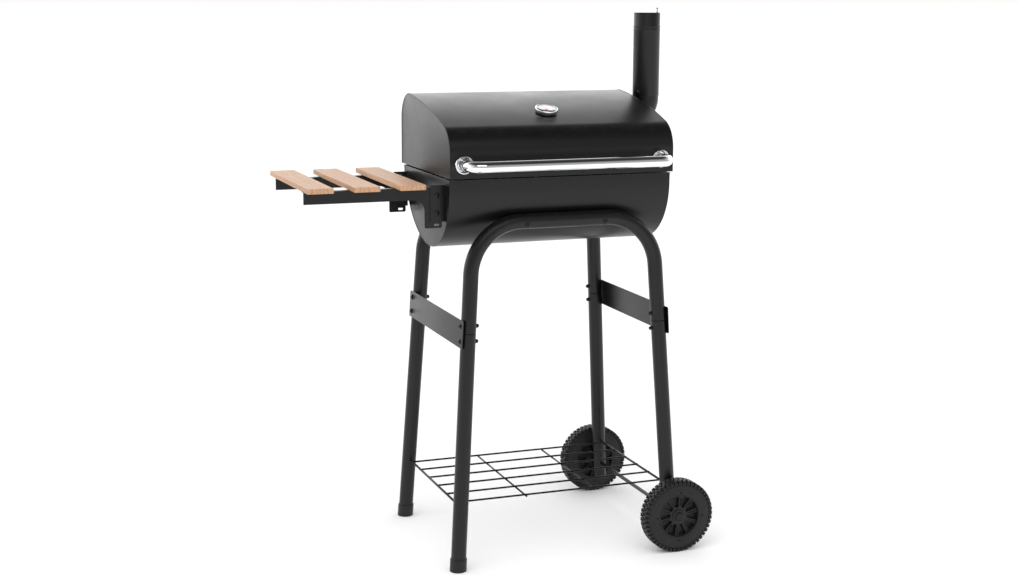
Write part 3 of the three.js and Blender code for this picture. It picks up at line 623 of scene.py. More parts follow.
def clear_glass():
    made, nodes, links, shader = new_material("dial glass", (0.97, 0.98, 0.98), roughness=0.02, ior=1.45)
    shader.inputs["Transmission Weight"].default_value = 1.0
    links.new(place_group(nodes, "mottle", Low=0.01, High=0.05, Scale=60.0), shader.inputs["Roughness"])
    path = nodes.new("ShaderNodeLightPath")
    lit_through = nodes.new("ShaderNodeMath")
    lit_through.operation = "MAXIMUM"
    links.new(path.outputs["Is Shadow Ray"], lit_through.inputs[0])
    links.new(path.outputs["Is Diffuse Ray"], lit_through.inputs[1])
    mix = nodes.new("ShaderNodeMixShader")
    links.new(lit_through.outputs[0], mix.inputs["Fac"])
    links.new(shader.outputs[0], mix.inputs[1])
    links.new(nodes.new("ShaderNodeBsdfTransparent").outputs[0], mix.inputs[2])
    links.new(mix.outputs[0], nodes["Material Output"].inputs["Surface"])
    return made


def pale_wood():
    choice = settings().finish
    light, dark = tuple(choice.wood_light), tuple(choice.wood_dark)
    made, nodes, links, shader = new_material("oiled light wood", light, roughness=0.5)
    place = nodes.new("ShaderNodeTexCoord").outputs["Object"]
    stretch = nodes.new("ShaderNodeMapping")
    stretch.inputs["Scale"].default_value = (1.0, 0.055, 1.0)
    links.new(place, stretch.inputs["Vector"])
    along = stretch.outputs["Vector"]
    rings = nodes.new("ShaderNodeTexWave")
    rings.bands_direction = "X"
    rings.inputs["Scale"].default_value = 34.0
    rings.inputs["Distortion"].default_value = 9.0
    rings.inputs["Detail"].default_value = 3.0
    rings.inputs["Detail Scale"].default_value = 1.6
    links.new(along, rings.inputs["Vector"])
    fibres = noise(nodes, links, along, 900.0, 4.0)
    patches = noise(nodes, links, along, 26.0, 2.0)
    grain = times(nodes, links, map_range(nodes, links, rings.outputs["Fac"], 0.3, 1.0, 0.0, 0.75),
                  map_range(nodes, links, fibres, 0.3, 0.7, 0.5, 1.0))
    ringed = blend_colour(nodes, links, grain, light, dark)
    warm = map_range(nodes, links, patches, 0.4, 0.7, 0.0, 0.5)
    links.new(blend_colour(nodes, links, warm, ringed, (0.53, 0.28, 0.145)), shader.inputs["Base Color"])
    links.new(map_range(nodes, links, fibres, 0.3, 0.7, 0.42, 0.6), shader.inputs["Roughness"])
    relief(nodes, links, shader, fibres, 0.25, 0.0003)
    return made


def dial_ink():
    base = (0.02, 0.02, 0.022)
    made, nodes, links, shader = new_material("dial ink", base, roughness=0.5)
    links.new(place_group(nodes, "mottle", Low=0.42, High=0.6, Scale=300.0), shader.inputs["Roughness"])
    return made


FINISHES = {
    "black_paint": black_paint, "black_plastic": black_plastic, "chrome": chrome, "zinc_steel": zinc_steel,
    "grate_steel": grate_steel, "rack_wire": rack_wire, "dial_white": dial_white, "needle_red": needle_red,
    "clear_glass": clear_glass, "pale_wood": pale_wood, "dial_ink": dial_ink,
}
made_finishes = {}


def material(slot):
    if slot not in made_finishes:
        made_finishes[slot] = FINISHES[slot]()
    return made_finishes[slot]


# ---- fastenings ----
def washer(bm, seat, outward, radius):
    turn(bm, [(0, 0), (radius, 0), (radius, WASHER), (0, WASHER)], seat, outward, 28)


def dome_bolt(bm, seat, outward, radius):
    """A domed head with a washer under it and a round socket."""
    height = radius * 0.62
    socket = radius * 0.42
    rim, floor = WASHER + height * 0.93, WASHER + height * 0.45
    washer(bm, seat, outward, radius * 1.25)
    dome = [(radius * math.cos(a), WASHER + height * math.sin(a)) for a in
            (math.radians(k * 10) for k in range(7))]
    turn(bm, [(0, WASHER), (radius, WASHER), *dome, (socket, rim), (socket, floor), (0, floor)],
         seat, outward, 24)


def dome_nut(bm, seat, outward, radius):
    """A hexagon nut with a domed cap on a washer."""
    top = WASHER + radius * 0.7
    flats, cap_radius, cap_height = radius * 1.1, radius * 0.92, radius * 0.8
    washer(bm, seat, outward, radius * 1.3)
    turn(bm, [(0, WASHER), (flats, WASHER), (flats, top), (0, top)], seat, outward, 6)
    cap = [(cap_radius * math.cos(a), top + cap_height * math.sin(a)) for a in
           (math.radians(k * 15) for k in range(6))]
    turn(bm, [(0, top), *cap, (0, top + cap_height)], seat, outward, 20)


# ---- barrel ----
def lid_line(inset=0.0):
    """The lid's section from its front lip over the crowned top to its rear lip, as points in Y and Z."""
    barrel = settings().barrel
    steep, gentle = barrel.lid_front_slope, barrel.lid_rear_slope
    steep_drop, gentle_drop = inset * math.hypot(1, steep), inset * math.hypot(1, gentle)
    front, rear = LID_LOW.y + inset, LID_HIGH.y - inset
    meet = barrel.lid_meet_y + (steep_drop - gentle_drop) / (steep - gentle)

    def height(y, slope, drop):
        return barrel.lid_meet_z + slope * (y - barrel.lid_meet_y) - drop

    lip = LID_LOW.z + barrel.lid_lift
    return rounded([
        (front, lip, 0),
        (front, height(front, steep, steep_drop), barrel.lid_front_radius - inset),
        (meet, height(meet, steep, steep_drop), barrel.lid_crown - inset),
        (rear, height(rear, gentle, gentle_drop), barrel.lid_rear_radius - inset),
        (rear, lip, 0),
    ], steps=24)


def bowl_line(inset=0.0):
    """The bowl's section from its front lip down and up to its rear lip."""
    barrel = settings().barrel
    top = BOWL_HIGH.z
    front, rear = barrel.bowl_front_radius, barrel.bowl_rear_radius
    front_centre = (barrel.bowl_middle, BOWL_LOW.z + front)
    rear_centre = (barrel.bowl_middle, BOWL_LOW.z + rear)
    lift = math.degrees(math.asin((rear_centre[1] - top) / (rear - inset)))
    return [Vector((BOWL_LOW.y + inset, top)), *arc(front_centre, front - inset, 180, 270, 28),
            *arc(rear_centre, rear - inset, 270, 360 - lift, 36)[1:]]


def vent_holes(y, z, first):
    """The three air holes round a pivot, the first at an angle in degrees."""
    return [circle((y + VENT_RING * math.cos(a), z + VENT_RING * math.sin(a)), VENT_HOLE)
            for a in (math.radians(first + 120 * k) for k in range(3))]


def along_x(x):
    """Places a section's Y and Z at x."""
    return lambda a, b, depth: Vector((x + depth, a, b))


def end_plate(bm, line, outside, holes=()):
    """A pressed barrel end: a plate set in behind a rolled seam that runs round its edge."""
    bead = settings().barrel.seam_bead
    outward = 1 if outside > MIDDLE_X else -1
    thickness = 1.1 * MM
    plate_x = outside - outward * thickness
    centre = sum((Vector(point) for point in line), Vector((0, 0))) / len(line)
    inset = [point + (centre - point).normalized() * bead for point in line]
    add_plate(bm, [inset, *holes], thickness, 0.25 * MM, yz_matrix(plate_x))
    seam_x = outside - outward * bead
    sweep(bm, [Vector((seam_x, *point)) for point in inset], bead, 10)


class GRILL_OT_lid(bpy.types.Operator):
    """Makes the lid's sheet and its two pressed ends"""
    bl_idname = "grill.lid"
    bl_label = "Lid"

    def execute(self, context):
        barrel = settings().barrel
        bead = barrel.seam_bead
        bm = bmesh.new()
        section = lid_line() + lid_line(barrel.sheet)[::-1]
        low, high = LID_LOW.x + bead, LID_HIGH.x - bead
        prism(bm, section, along_x(low), high - low)
        finish_piece("lid_sheet", bm, "lid", "black_paint", ["lid_shell"], bevel=0.3 * MM)

        flue_y = joint_place("chimney_damper").y
        flue_low, flue_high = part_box("chimney_elbow")
        flue_z = flue_low.z + (flue_high.y - flue_low.y) / 2
        flue_hole = circle((flue_y, flue_z), 26 * MM, 40)
        for side, outside, holes in (("left", LID_LOW.x, []), ("right", LID_HIGH.x, [flue_hole])):
            bm = bmesh.new()
            end_plate(bm, lid_line(), outside, holes)
            finish_piece(f"lid_end_plate_{side}", bm, "lid", "black_paint", [f"lid_end_{side}"])
        return {"FINISHED"}


class GRILL_OT_bowl(bpy.types.Operator):
    """Makes the bowl's sheet with its turned lip, and its two pressed ends"""
    bl_idname = "grill.bowl"
    bl_label = "Bowl"

    def execute(self, context):
        barrel = settings().barrel
        bead = barrel.seam_bead
        rim_y = BOWL_LOW.y - barrel.bowl_rim
        top = BOWL_HIGH.z
        under = top - 2 * MM
        lip = [Vector((rim_y, top)), Vector((rim_y, under)), Vector((BOWL_LOW.y, under))]
        bm = bmesh.new()
        section = lip + bowl_line()[1:] + bowl_line(barrel.sheet)[::-1]
        low, high = BOWL_LOW.x + bead, BOWL_HIGH.x - bead
        prism(bm, section, along_x(low), high - low)
        finish_piece("bowl_sheet", bm, TROLLEY, "black_paint", ["bowl_shell"], bevel=0.3 * MM)

        pivot = joint_place("air_vent")
        vents = vent_holes(pivot.y, pivot.z, 90)
        for side, outside, holes in (("left", BOWL_LOW.x, []), ("right", BOWL_HIGH.x, vents)):
            bm = bmesh.new()
            end_plate(bm, bowl_line(), outside, holes)
            finish_piece(f"bowl_end_plate_{side}", bm, TROLLEY, "black_paint", [f"bowl_end_{side}"])
        return {"FINISHED"}


class GRILL_OT_vent(bpy.types.Operator):
    """Makes the air vent's turning shutter and its rivet"""
    bl_idname = "grill.vent"
    bl_label = "Air vent"

    def execute(self, context):
        pivot = joint_place("air_vent")
        low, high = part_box("vent_shutter")
        radius = (high.y - low.y) / 2
        tab_half = 6 * MM
        tab_foot = pivot.z - low.z
        outline = arc((0, 0), radius, -79, 259, 48)
        outline += [Vector((-tab_half, -tab_foot)), Vector((tab_half, -tab_foot))]
        flat = yz_matrix((low.x + high.x) / 2, pivot.y, pivot.z)
        bm = bmesh.new()
        add_plate(bm, [outline, *vent_holes(0, 0, 150)], high.x - low.x, 0.3 * MM, flat)
        finish_piece("vent_plate", bm, "vent", "black_paint", ["vent_shutter"])

        bm = bmesh.new()
        face = high.x + 0.2 * MM
        rivet = in_mm((0, -6), (2.9, -6), (2.9, 0), (6, 0), (5.6, 1.2), (4, 2), (0, 2.4))
        turn(bm, rivet, (face, pivot.y, pivot.z), X, 28)
        finish_piece("vent_rivet", bm, TROLLEY, "zinc_steel", ["vent_pivot"])
        return {"FINISHED"}


class GRILL_OT_hinges(bpy.types.Operator):
    """Gives the hinges their finish, pins with heads, and rivets through their leaves"""
    bl_idname = "grill.hinges"
    bl_label = "Hinges"

    def execute(self, context):
        axis = joint_place("lid_hinge")
        barrel = settings().barrel
        bowl_radius = barrel.bowl_rear_radius
        bowl_centre_z = BOWL_LOW.z + bowl_radius
        rivet = 3.6 * MM
        rivets = {"lid": bmesh.new(), TROLLEY: bmesh.new()}
        for side in SIDES:
            keep_node(f"hinge_lid_leaf_{side}", "black_paint", 0.25 * MM)
            keep_node(f"hinge_bowl_leaf_{side}", "black_paint", 0.25 * MM)
            low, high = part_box(f"hinge_pin_{side}")
            middle = (low.x + high.x) / 2
            half = (high.x - low.x) / 2 - 0.5 * MM
            pin, head = 2.4 * MM, half - 1.6 * MM
            profile = [(0, -half), (pin, -half), (pin, head), (3.8 * MM, head), (3.6 * MM, half - 0.4 * MM),
                       (0, half)]
            bm = bmesh.new()
            turn(bm, profile, (middle, axis.y, axis.z), X, 24)
            finish_piece(f"hinge_pin_round_{side}", bm, "lid", "zinc_steel", [f"hinge_pin_{side}"])
            on_lid_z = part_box(f"hinge_lid_leaf_{side}")[1].z - 12 * MM
            on_bowl_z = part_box(f"hinge_bowl_leaf_{side}")[0].z + 9 * MM
            across = math.sqrt(bowl_radius ** 2 - (bowl_centre_z - on_bowl_z) ** 2)
            outward = Vector((0, across, on_bowl_z - bowl_centre_z)).normalized()
            for offset in (-RIVET_OFFSET, RIVET_OFFSET):
                seat = Vector((middle + offset, LID_HIGH.y + 1.8 * MM, on_lid_z))
                dome_bolt(rivets["lid"], seat, Y, rivet)
                on_wall = Vector((middle + offset, barrel.bowl_middle, bowl_centre_z))
                on_wall += outward * (bowl_radius + 2.2 * MM)
                dome_bolt(rivets[TROLLEY], on_wall, outward, rivet)
        finish_piece("hinge_rivets_lid", rivets["lid"], "lid", "black_paint")
        finish_piece("hinge_rivets_bowl", rivets[TROLLEY], TROLLEY, "black_paint")
        return {"FINISHED"}


class GRILL_OT_handle(bpy.types.Operator):
    """Bends the chrome handle tube and turns its two ferrules"""
    bl_idname = "grill.handle"
    bl_label = "Handle"

    def execute(self, context):
        low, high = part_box("handle_bar")
        radius = (high.z - low.z) / 2
        height = (high.z + low.z) / 2
        left, right, reach = low.x + radius, high.x - radius, low.y + radius
        bend, wall = 25 * MM, 1.2 * MM
        back = high.y
        line = rounded([(left, back, height, 0), (left, reach, height, bend), (right, reach, height, bend),
                        (right, back, height, 0)], steps=16)
        bm = bmesh.new()
        sweep(bm, line, radius, 40, inner=radius - wall)
        finish_piece("handle_tube", bm, "lid", "chrome", ["handle_bar"])

        bore = radius + 0.3 * MM
        lip = in_mm((16.6, 0), (17.4, 1.5), (17.9, 5), (18, 9), (17.7, 11.4), (17, 12.8), (16.2, 13.2),
                    (15.4, 12.8), (14.9, 11.6), (14.4, 7), (13.6, 4))
        cup = [(bore, 0), *lip, (bore, 3 * MM)]
        for side, x in (("left", left), ("right", right)):
            bm = bmesh.new()
            seat = Vector((x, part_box(f"handle_ferrule_{side}")[1].y, height))
            turn(bm, cup, seat, -Y, 56, closed=True)
            finish_piece(f"handle_cup_{side}", bm, "lid", "chrome", [f"handle_ferrule_{side}"])
        return {"FINISHED"}


class GRILL_OT_thermometer(bpy.types.Operator):
    """Makes the lid thermometer: case with probe, dial with marks, needle and glass"""
    bl_idname = "grill.thermometer"
    bl_label = "Thermometer"

    def execute(self, context):
        foot = joint_place("thermometer_needle")
        axis = -Vector(JOINTS["thermometer_needle"]["axis"])
        across = X.copy()
        up = axis.cross(across)
        to_dial = Matrix((across, up, axis)).transposed().to_4x4()

        def on_dial(radius, degrees, height):
            angle = math.radians(degrees)
            return foot + (across * math.cos(angle) + up * math.sin(angle)) * radius + axis * height

        bm = bmesh.new()
        probe = in_mm((0, -46), (1.6, -45.4), (2.5, -44), (2.5, -7), (8, -7), (8, -1.7), (3.6, -1.7),
                      (3.6, 0.4))
        bezel = in_mm((20.4, 0.4), (22.2, 1.2), (23, 2.6), (23, 8.6), (22.8, 9.8), (22.1, 10.7), (21.2, 11),
                      (20.5, 10.7), (20.2, 10.1), (20.1, 9), (20.1, 4), (0, 4))
        turn(bm, probe + bezel, foot, axis, 64)
        finish_piece("thermometer_case", bm, "lid", "chrome", ["gauge_case"])

        bm = bmesh.new()
        turn(bm, in_mm((0, 4.3), (19.9, 4.3), (19.9, 5), (0, 5)), foot, axis, 64)
        finish_piece("thermometer_dial", bm, "lid", "dial_white", ["gauge_dial"])

        bm = bmesh.new()
        for k in range(46):
            long_mark = k % 5 == 0
            degrees = 225 - 6 * k
            inner, outer = (14.4 if long_mark else 16.2) * MM, 18 * MM
            width = (0.24 if long_mark else 0.12) * MM
            spoke = on_dial(1, degrees, 0) - foot
            side = axis.cross(spoke)
            corners = [foot + spoke * r + side * w + axis * 5.06 * MM
                       for r, w in ((inner, -width), (outer, -width), (outer, width), (inner, width))]
            ring = [bm.verts.new(corner) for corner in corners]
            lifted = [bm.verts.new(corner + axis * 0.06 * MM) for corner in corners]
            join_rings(bm, ring, lifted)
            bm.faces.new(ring)
            bm.faces.new(lifted)
        for k in range(5):
            text = bpy.data.curves.new("dial number", "FONT")
            text.body = str(100 * (k + 1))
            text.size = 3.5 * MM
            text.align_x = "CENTER"
            text.align_y = "CENTER"
            text.extrude = 0.03 * MM
            add_curve(bm, text, Matrix.Translation(on_dial(11 * MM, 198 - 54 * k, 5.1 * MM)) @ to_dial)
        marks = finish_piece("thermometer_marks", bm, "lid", "dial_ink")

        bm = bmesh.new()
        turn(bm, in_mm((0, 5.4), (2.4, 5.4), (2.3, 6.6), (1.6, 7), (0, 7.1)), foot, axis, 28)
        tail, tip = on_dial(5 * MM, 45, 6 * MM), on_dial(15.5 * MM, 225, 6 * MM)
        side = axis.cross(tip - tail).normalized()
        wide, narrow = side * 1.1 * MM, side * 0.2 * MM
        blade = [tail + wide, tail - wide, tip - narrow, tip + narrow]
        under = [bm.verts.new(corner) for corner in blade]
        over = [bm.verts.new(corner + axis * 0.4 * MM) for corner in blade]
        join_rings(bm, under, over)
        bm.faces.new(under)
        bm.faces.new(over)
        finish_piece("thermometer_needle", bm, "needle", "needle_red", ["gauge_needle"])

        bm = bmesh.new()
        edge, under, rise, crown = 20 * MM, 8.4 * MM, 9, 1.3
        dome = [(edge * math.cos(a), (rise + crown * math.sin(a)) * MM) for a in
                (math.radians(90 * k / 8) for k in range(8))]
        turn(bm, [(0, under), (edge, under), *dome, (0, (rise + crown) * MM)], foot, axis, 64)
        finish_piece("thermometer_glass", bm, "lid", "clear_glass", ["gauge_glass"])
        return {"FINISHED"}


class GRILL_OT_chimney(bpy.types.Operator):
    """Makes the chimney's elbow, its stack with rolled rings, and the turning damper"""
    bl_idname = "grill.chimney"
    bl_label = "Chimney"

    def execute(self, context):
        low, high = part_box("chimney_stack")
        radius = (high.x - low.x) / 2
        centre = Vector(((low.x + high.x) / 2, (low.y + high.y) / 2, 0))
        elbow_low, elbow_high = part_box("chimney_elbow")
        flange = (elbow_high.y - elbow_low.y) / 2
        hole_z = elbow_low.z + flange
        wall = 1.2 * MM
        face = elbow_low.x
        elbow_radius = radius - 0.7 * MM
        bm = bmesh.new()
        line = rounded([(face, centre.y, hole_z, 0), (centre.x, centre.y, hole_z, 38 * MM),
                        (centre.x, centre.y, elbow_high.z, 0)], steps=24)
        sweep(bm, line, elbow_radius, 56, inner=elbow_radius - wall)
        collar = [(elbow_radius - 0.4 * MM, 0), (flange, 0), (flange, wall),
                  (elbow_radius + 3 * MM, 1.4 * MM), (elbow_radius + 0.9 * MM, 2.6 * MM),
                  (elbow_radius, 4.4 * MM)]
        turn(bm, collar, (face, centre.y, hole_z), X, 56, closed=True)
        for a, b in circle((centre.y, hole_z), flange - 4.4 * MM, 8)[1::2]:
            dome_bolt(bm, Vector((face + wall, a, b)), X, 2.4 * MM)
        finish_piece("chimney_bend", bm, "lid", "black_paint", ["chimney_elbow"])

        top = high.z
        ring = 0.55 * MM
        inner = radius - wall
        profile = [(inner, low.z), (radius - 0.2 * MM, low.z), (radius, low.z + 0.6 * MM)]
        for drop in (33 * MM, 27 * MM):
            z = top - drop
            profile += [(radius, z - 2 * MM), (radius + ring, z - 0.6 * MM), (radius + ring, z + 0.6 * MM),
                        (radius, z + 2 * MM)]
        profile += [(radius, top - 1 * MM), (radius - 0.3 * MM, top - 0.2 * MM), (radius - 0.7 * MM, top),
                    (inner + 0.2 * MM, top - 0.2 * MM), (inner, top - 0.8 * MM)]
        bm = bmesh.new()
        turn(bm, profile, centre, Z, 72, closed=True)
        pin = joint_place("chimney_damper")
        ear = 5 * MM
        block(bm, (pin.x - ear, centre.y - ear, top - 6 * MM),
              (centre.x + inner + 0.4 * MM, centre.y + ear, top - 4 * MM))
        rivet = in_mm((0, 0), (3.4, 0), (3.2, 0.9), (2.2, 1.7), (0, 2.1))
        for angle in (math.radians(212), math.radians(32)):
            outward = Vector((math.cos(angle), math.sin(angle), 0))
            seat = centre + outward * (radius - 0.3 * MM) + Z * (low.z + 9 * MM)
            turn(bm, rivet, seat, outward, 20)
        finish_piece("chimney_pipe", bm, "lid", "black_paint", ["chimney_stack"])

        flap_low, flap_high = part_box("damper_flap")
        bm = bmesh.new()
        matrix = Matrix.Translation((centre.x, centre.y, (flap_low.z + flap_high.z) / 2))
        pin_hole = circle((pin.x - centre.x, 0), 2.3 * MM, 20)
        add_plate(bm, [circle((0, 0), radius, 72), pin_hole], flap_high.z - flap_low.z, 0.35 * MM, matrix)
        finish_piece("damper_plate", bm, "damper", "black_paint", ["damper_flap"])

        pin_low, pin_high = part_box("damper_pin")
        bm = bmesh.new()
        tall = pin_high.z - pin_low.z
        stem = in_mm((0, 0), (2.7, 0), (2.7, 1.7), (1.9, 1.7), (1.9, 11.4), (1.2, 12.2), (1.2, 17),
                     (2, 17.8), (2.2, 18.8), (1.7, 19.6))
        turn(bm, [*stem, (0, tall)], (pin.x, pin.y, pin_low.z), Z, 24)
        finish_piece("damper_stem", bm, "lid", "zinc_steel", ["damper_pin"])
        return {"FINISHED"}


# ---- trolley ----
def leg_point(sign, face, z):
    """A point on the centre line of the leg on that side and face."""
    trolley = settings().trolley
    middle = WHEEL_X - trolley.half_spread + trolley.lean_x * WHEEL_RADIUS
    return Vector((middle + sign * (trolley.half_spread - trolley.lean_x * z),
                   face * (trolley.half_depth - trolley.lean_y * z), z))


class GRILL_OT_tubes(bpy.types.Operator):
    """Bends the two upper tubes and makes the four legs and the foot caps"""
    bl_idname = "grill.tubes"
    bl_label = "Frame tubes"

    def execute(self, context):
        trolley = settings().trolley
        radius, inner = trolley.tube_radius, trolley.tube_radius - trolley.tube_wall
        joint, top = trolley.joint_height, trolley.top
        gap = 0.5 * MM
        for face_name, face in FACES.items():
            corners = [(*leg_point(-1, face, joint + gap), 0), (*leg_point(-1, face, top), trolley.bend),
                       (*leg_point(1, face, top), trolley.bend), (*leg_point(1, face, joint + gap), 0)]
            bm = bmesh.new()
            sweep(bm, rounded(corners, steps=28), radius, 40, inner=inner)
            finish_piece(f"upper_tube_{face_name}", bm, TROLLEY, "black_paint",
                         [f"frame_upper_{face_name}"], bevel=0.3 * MM)
            for side, sign in SIDES.items():
                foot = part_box(f"leg_{face_name}_{side}")[0].z + (0.7 * MM if sign > 0 else 0.9 * MM)
                bm = bmesh.new()
                ends = [leg_point(sign, face, foot), leg_point(sign, face, joint - gap)]
                sweep(bm, ends, radius, 40, inner=inner)
                finish_piece(f"lower_leg_{face_name}_{side}", bm, TROLLEY, "black_paint",
                             [f"leg_{face_name}_{side}"], bevel=0.4 * MM)
            self.foot_cap(face_name, face, radius)
        return {"FINISHED"}

    def foot_cap(self, face_name, face, tube_radius):
        """A moulded cup that stands flat on the floor though the leg leans."""
        axis = (leg_point(-1, face, 1) - leg_point(-1, face, 0)).normalized()
        outer, bore = tube_radius + 1.6 * MM, tube_radius + 0.2 * MM
        bm = bmesh.new()
        profile = [(0, 0), (outer - 1.2 * MM, 0), (outer - 0.3 * MM, 0.5 * MM), (outer, 1.6 * MM),
                   (outer, 20 * MM), (outer + 0.1 * MM, 24 * MM), (outer - 0.3 * MM, 25.4 * MM),
                   (outer - 0.9 * MM, 25.8 * MM), (bore, 25.2 * MM), (bore, 4 * MM), (0, 4 * MM)]
        turn(bm, profile, (0, 0, 0), Z, 48)
        foot = leg_point(-1, face, 0)
        for vert in bm.verts:
            height = vert.co.z
            vert.co = Vector((vert.co.x, vert.co.y, 0)) + foot + axis * height
        finish_piece(f"foot_cup_{face_name}", bm, TROLLEY, "black_plastic", [f"foot_cap_{face_name}"])


class GRILL_OT_frame_bolts(bpy.types.Operator):
    """Makes the bolts that hold the bowl on the upper tubes, and the rear spacers"""
    bl_idname = "grill.frame_bolts"
    bl_label = "Frame bolts"

    def execute(self, context):
        barrel, trolley = settings().barrel, settings().trolley
        for face_name, face in FACES.items():
            radius = barrel.bowl_front_radius if face < 0 else barrel.bowl_rear_radius
            for side in SIDES:
                low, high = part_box(f"frame_bolt_{face_name}_{side}")
                x = (low.x + high.x) / 2
                centre = Vector((x, barrel.bowl_middle, BOWL_LOW.z + radius))
                tube = leg_point(0, face, trolley.top)
                tube.x = x
                outward = (tube - centre).normalized()
                head = (tube - centre).length + trolley.tube_radius
                bm = bmesh.new()
                dome_bolt(bm, centre + outward * (head - 0.5 * MM), outward, trolley.bolt_head)
                shank = [centre + outward * (radius - 8 * MM), centre + outward * head]
                sweep(bm, shank, 3 * MM, 20)
                dome_nut(bm, centre + outward * (radius - barrel.sheet), -outward, 4.6 * MM)
                finish_piece(f"bowl_bolt_{face_name}_{side}", bm, TROLLEY, "black_paint",
                             [f"frame_bolt_{face_name}_{side}"])
                if face > 0:
                    start, end = radius + 0.2 * MM, head - 2 * trolley.tube_radius + 0.8 * MM
                    bm = bmesh.new()
                    bore, flare, waist, taper = 3.6 * MM, 8.6 * MM, 8 * MM, 1.4 * MM
                    spool = [(bore, start), (flare, start), (waist, start + taper),
                             (waist, end - taper), (flare, end), (bore, end)]
                    turn(bm, spool, centre, outward, 36, closed=True)
                    finish_piece(f"spacer_{side}", bm, TROLLEY, "black_paint", [f"rear_spacer_{side}"],
                                 bevel=0.2 * MM)
        return {"FINISHED"}


class GRILL_OT_side_plates(bpy.types.Operator):
    """Makes the two plates that tie front and rear legs, with bolts and domed nuts"""
    bl_idname = "grill.side_plates"
    bl_label = "Side plates"

    def execute(self, context):
        trolley = settings().trolley
        rise = 15 * MM
        for side, sign in SIDES.items():
            low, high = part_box(f"side_plate_{side}")
            middle = (low + high) / 2
            half_length, half_height = (high.y - low.y) / 2, (high.z - low.z) / 2
            corner = 4 * MM
            thickness = 1.5 * MM
            outline = rounded([(a * half_length, b * half_height, corner)
                               for a, b in ((-1, -1), (1, -1), (1, 1), (-1, 1))], closed=True, steps=6)
            lean = math.atan(trolley.lean_x)
            tilt = Matrix.Rotation(-sign * lean, 4, "Y")
            matrix = Matrix.Translation(middle) @ tilt @ yz_matrix(0)
            outward = (tilt.to_3x3() @ X) * sign
            upward = tilt.to_3x3() @ Z
            bm = bmesh.new()
            add_plate(bm, [outline], thickness, 0.35 * MM, matrix)
            finish_piece(f"tie_plate_{side}", bm, TROLLEY, "black_paint", [f"side_plate_{side}"])

            bm = bmesh.new()
            for face in FACES.values():
                for step in (-rise, rise):
                    leg = leg_point(sign, face, trolley.joint_height + step)
                    seat = Vector((middle.x, leg.y, middle.z)) + upward * step + outward * thickness / 2
                    dome_bolt(bm, seat, outward, 4.6 * MM)
                    inside = leg - outward * (trolley.tube_radius - 0.5 * MM)
                    dome_nut(bm, inside, -outward, 4 * MM)
            finish_piece(f"plate_bolts_{side}", bm, TROLLEY, "black_paint")
        return {"FINISHED"}


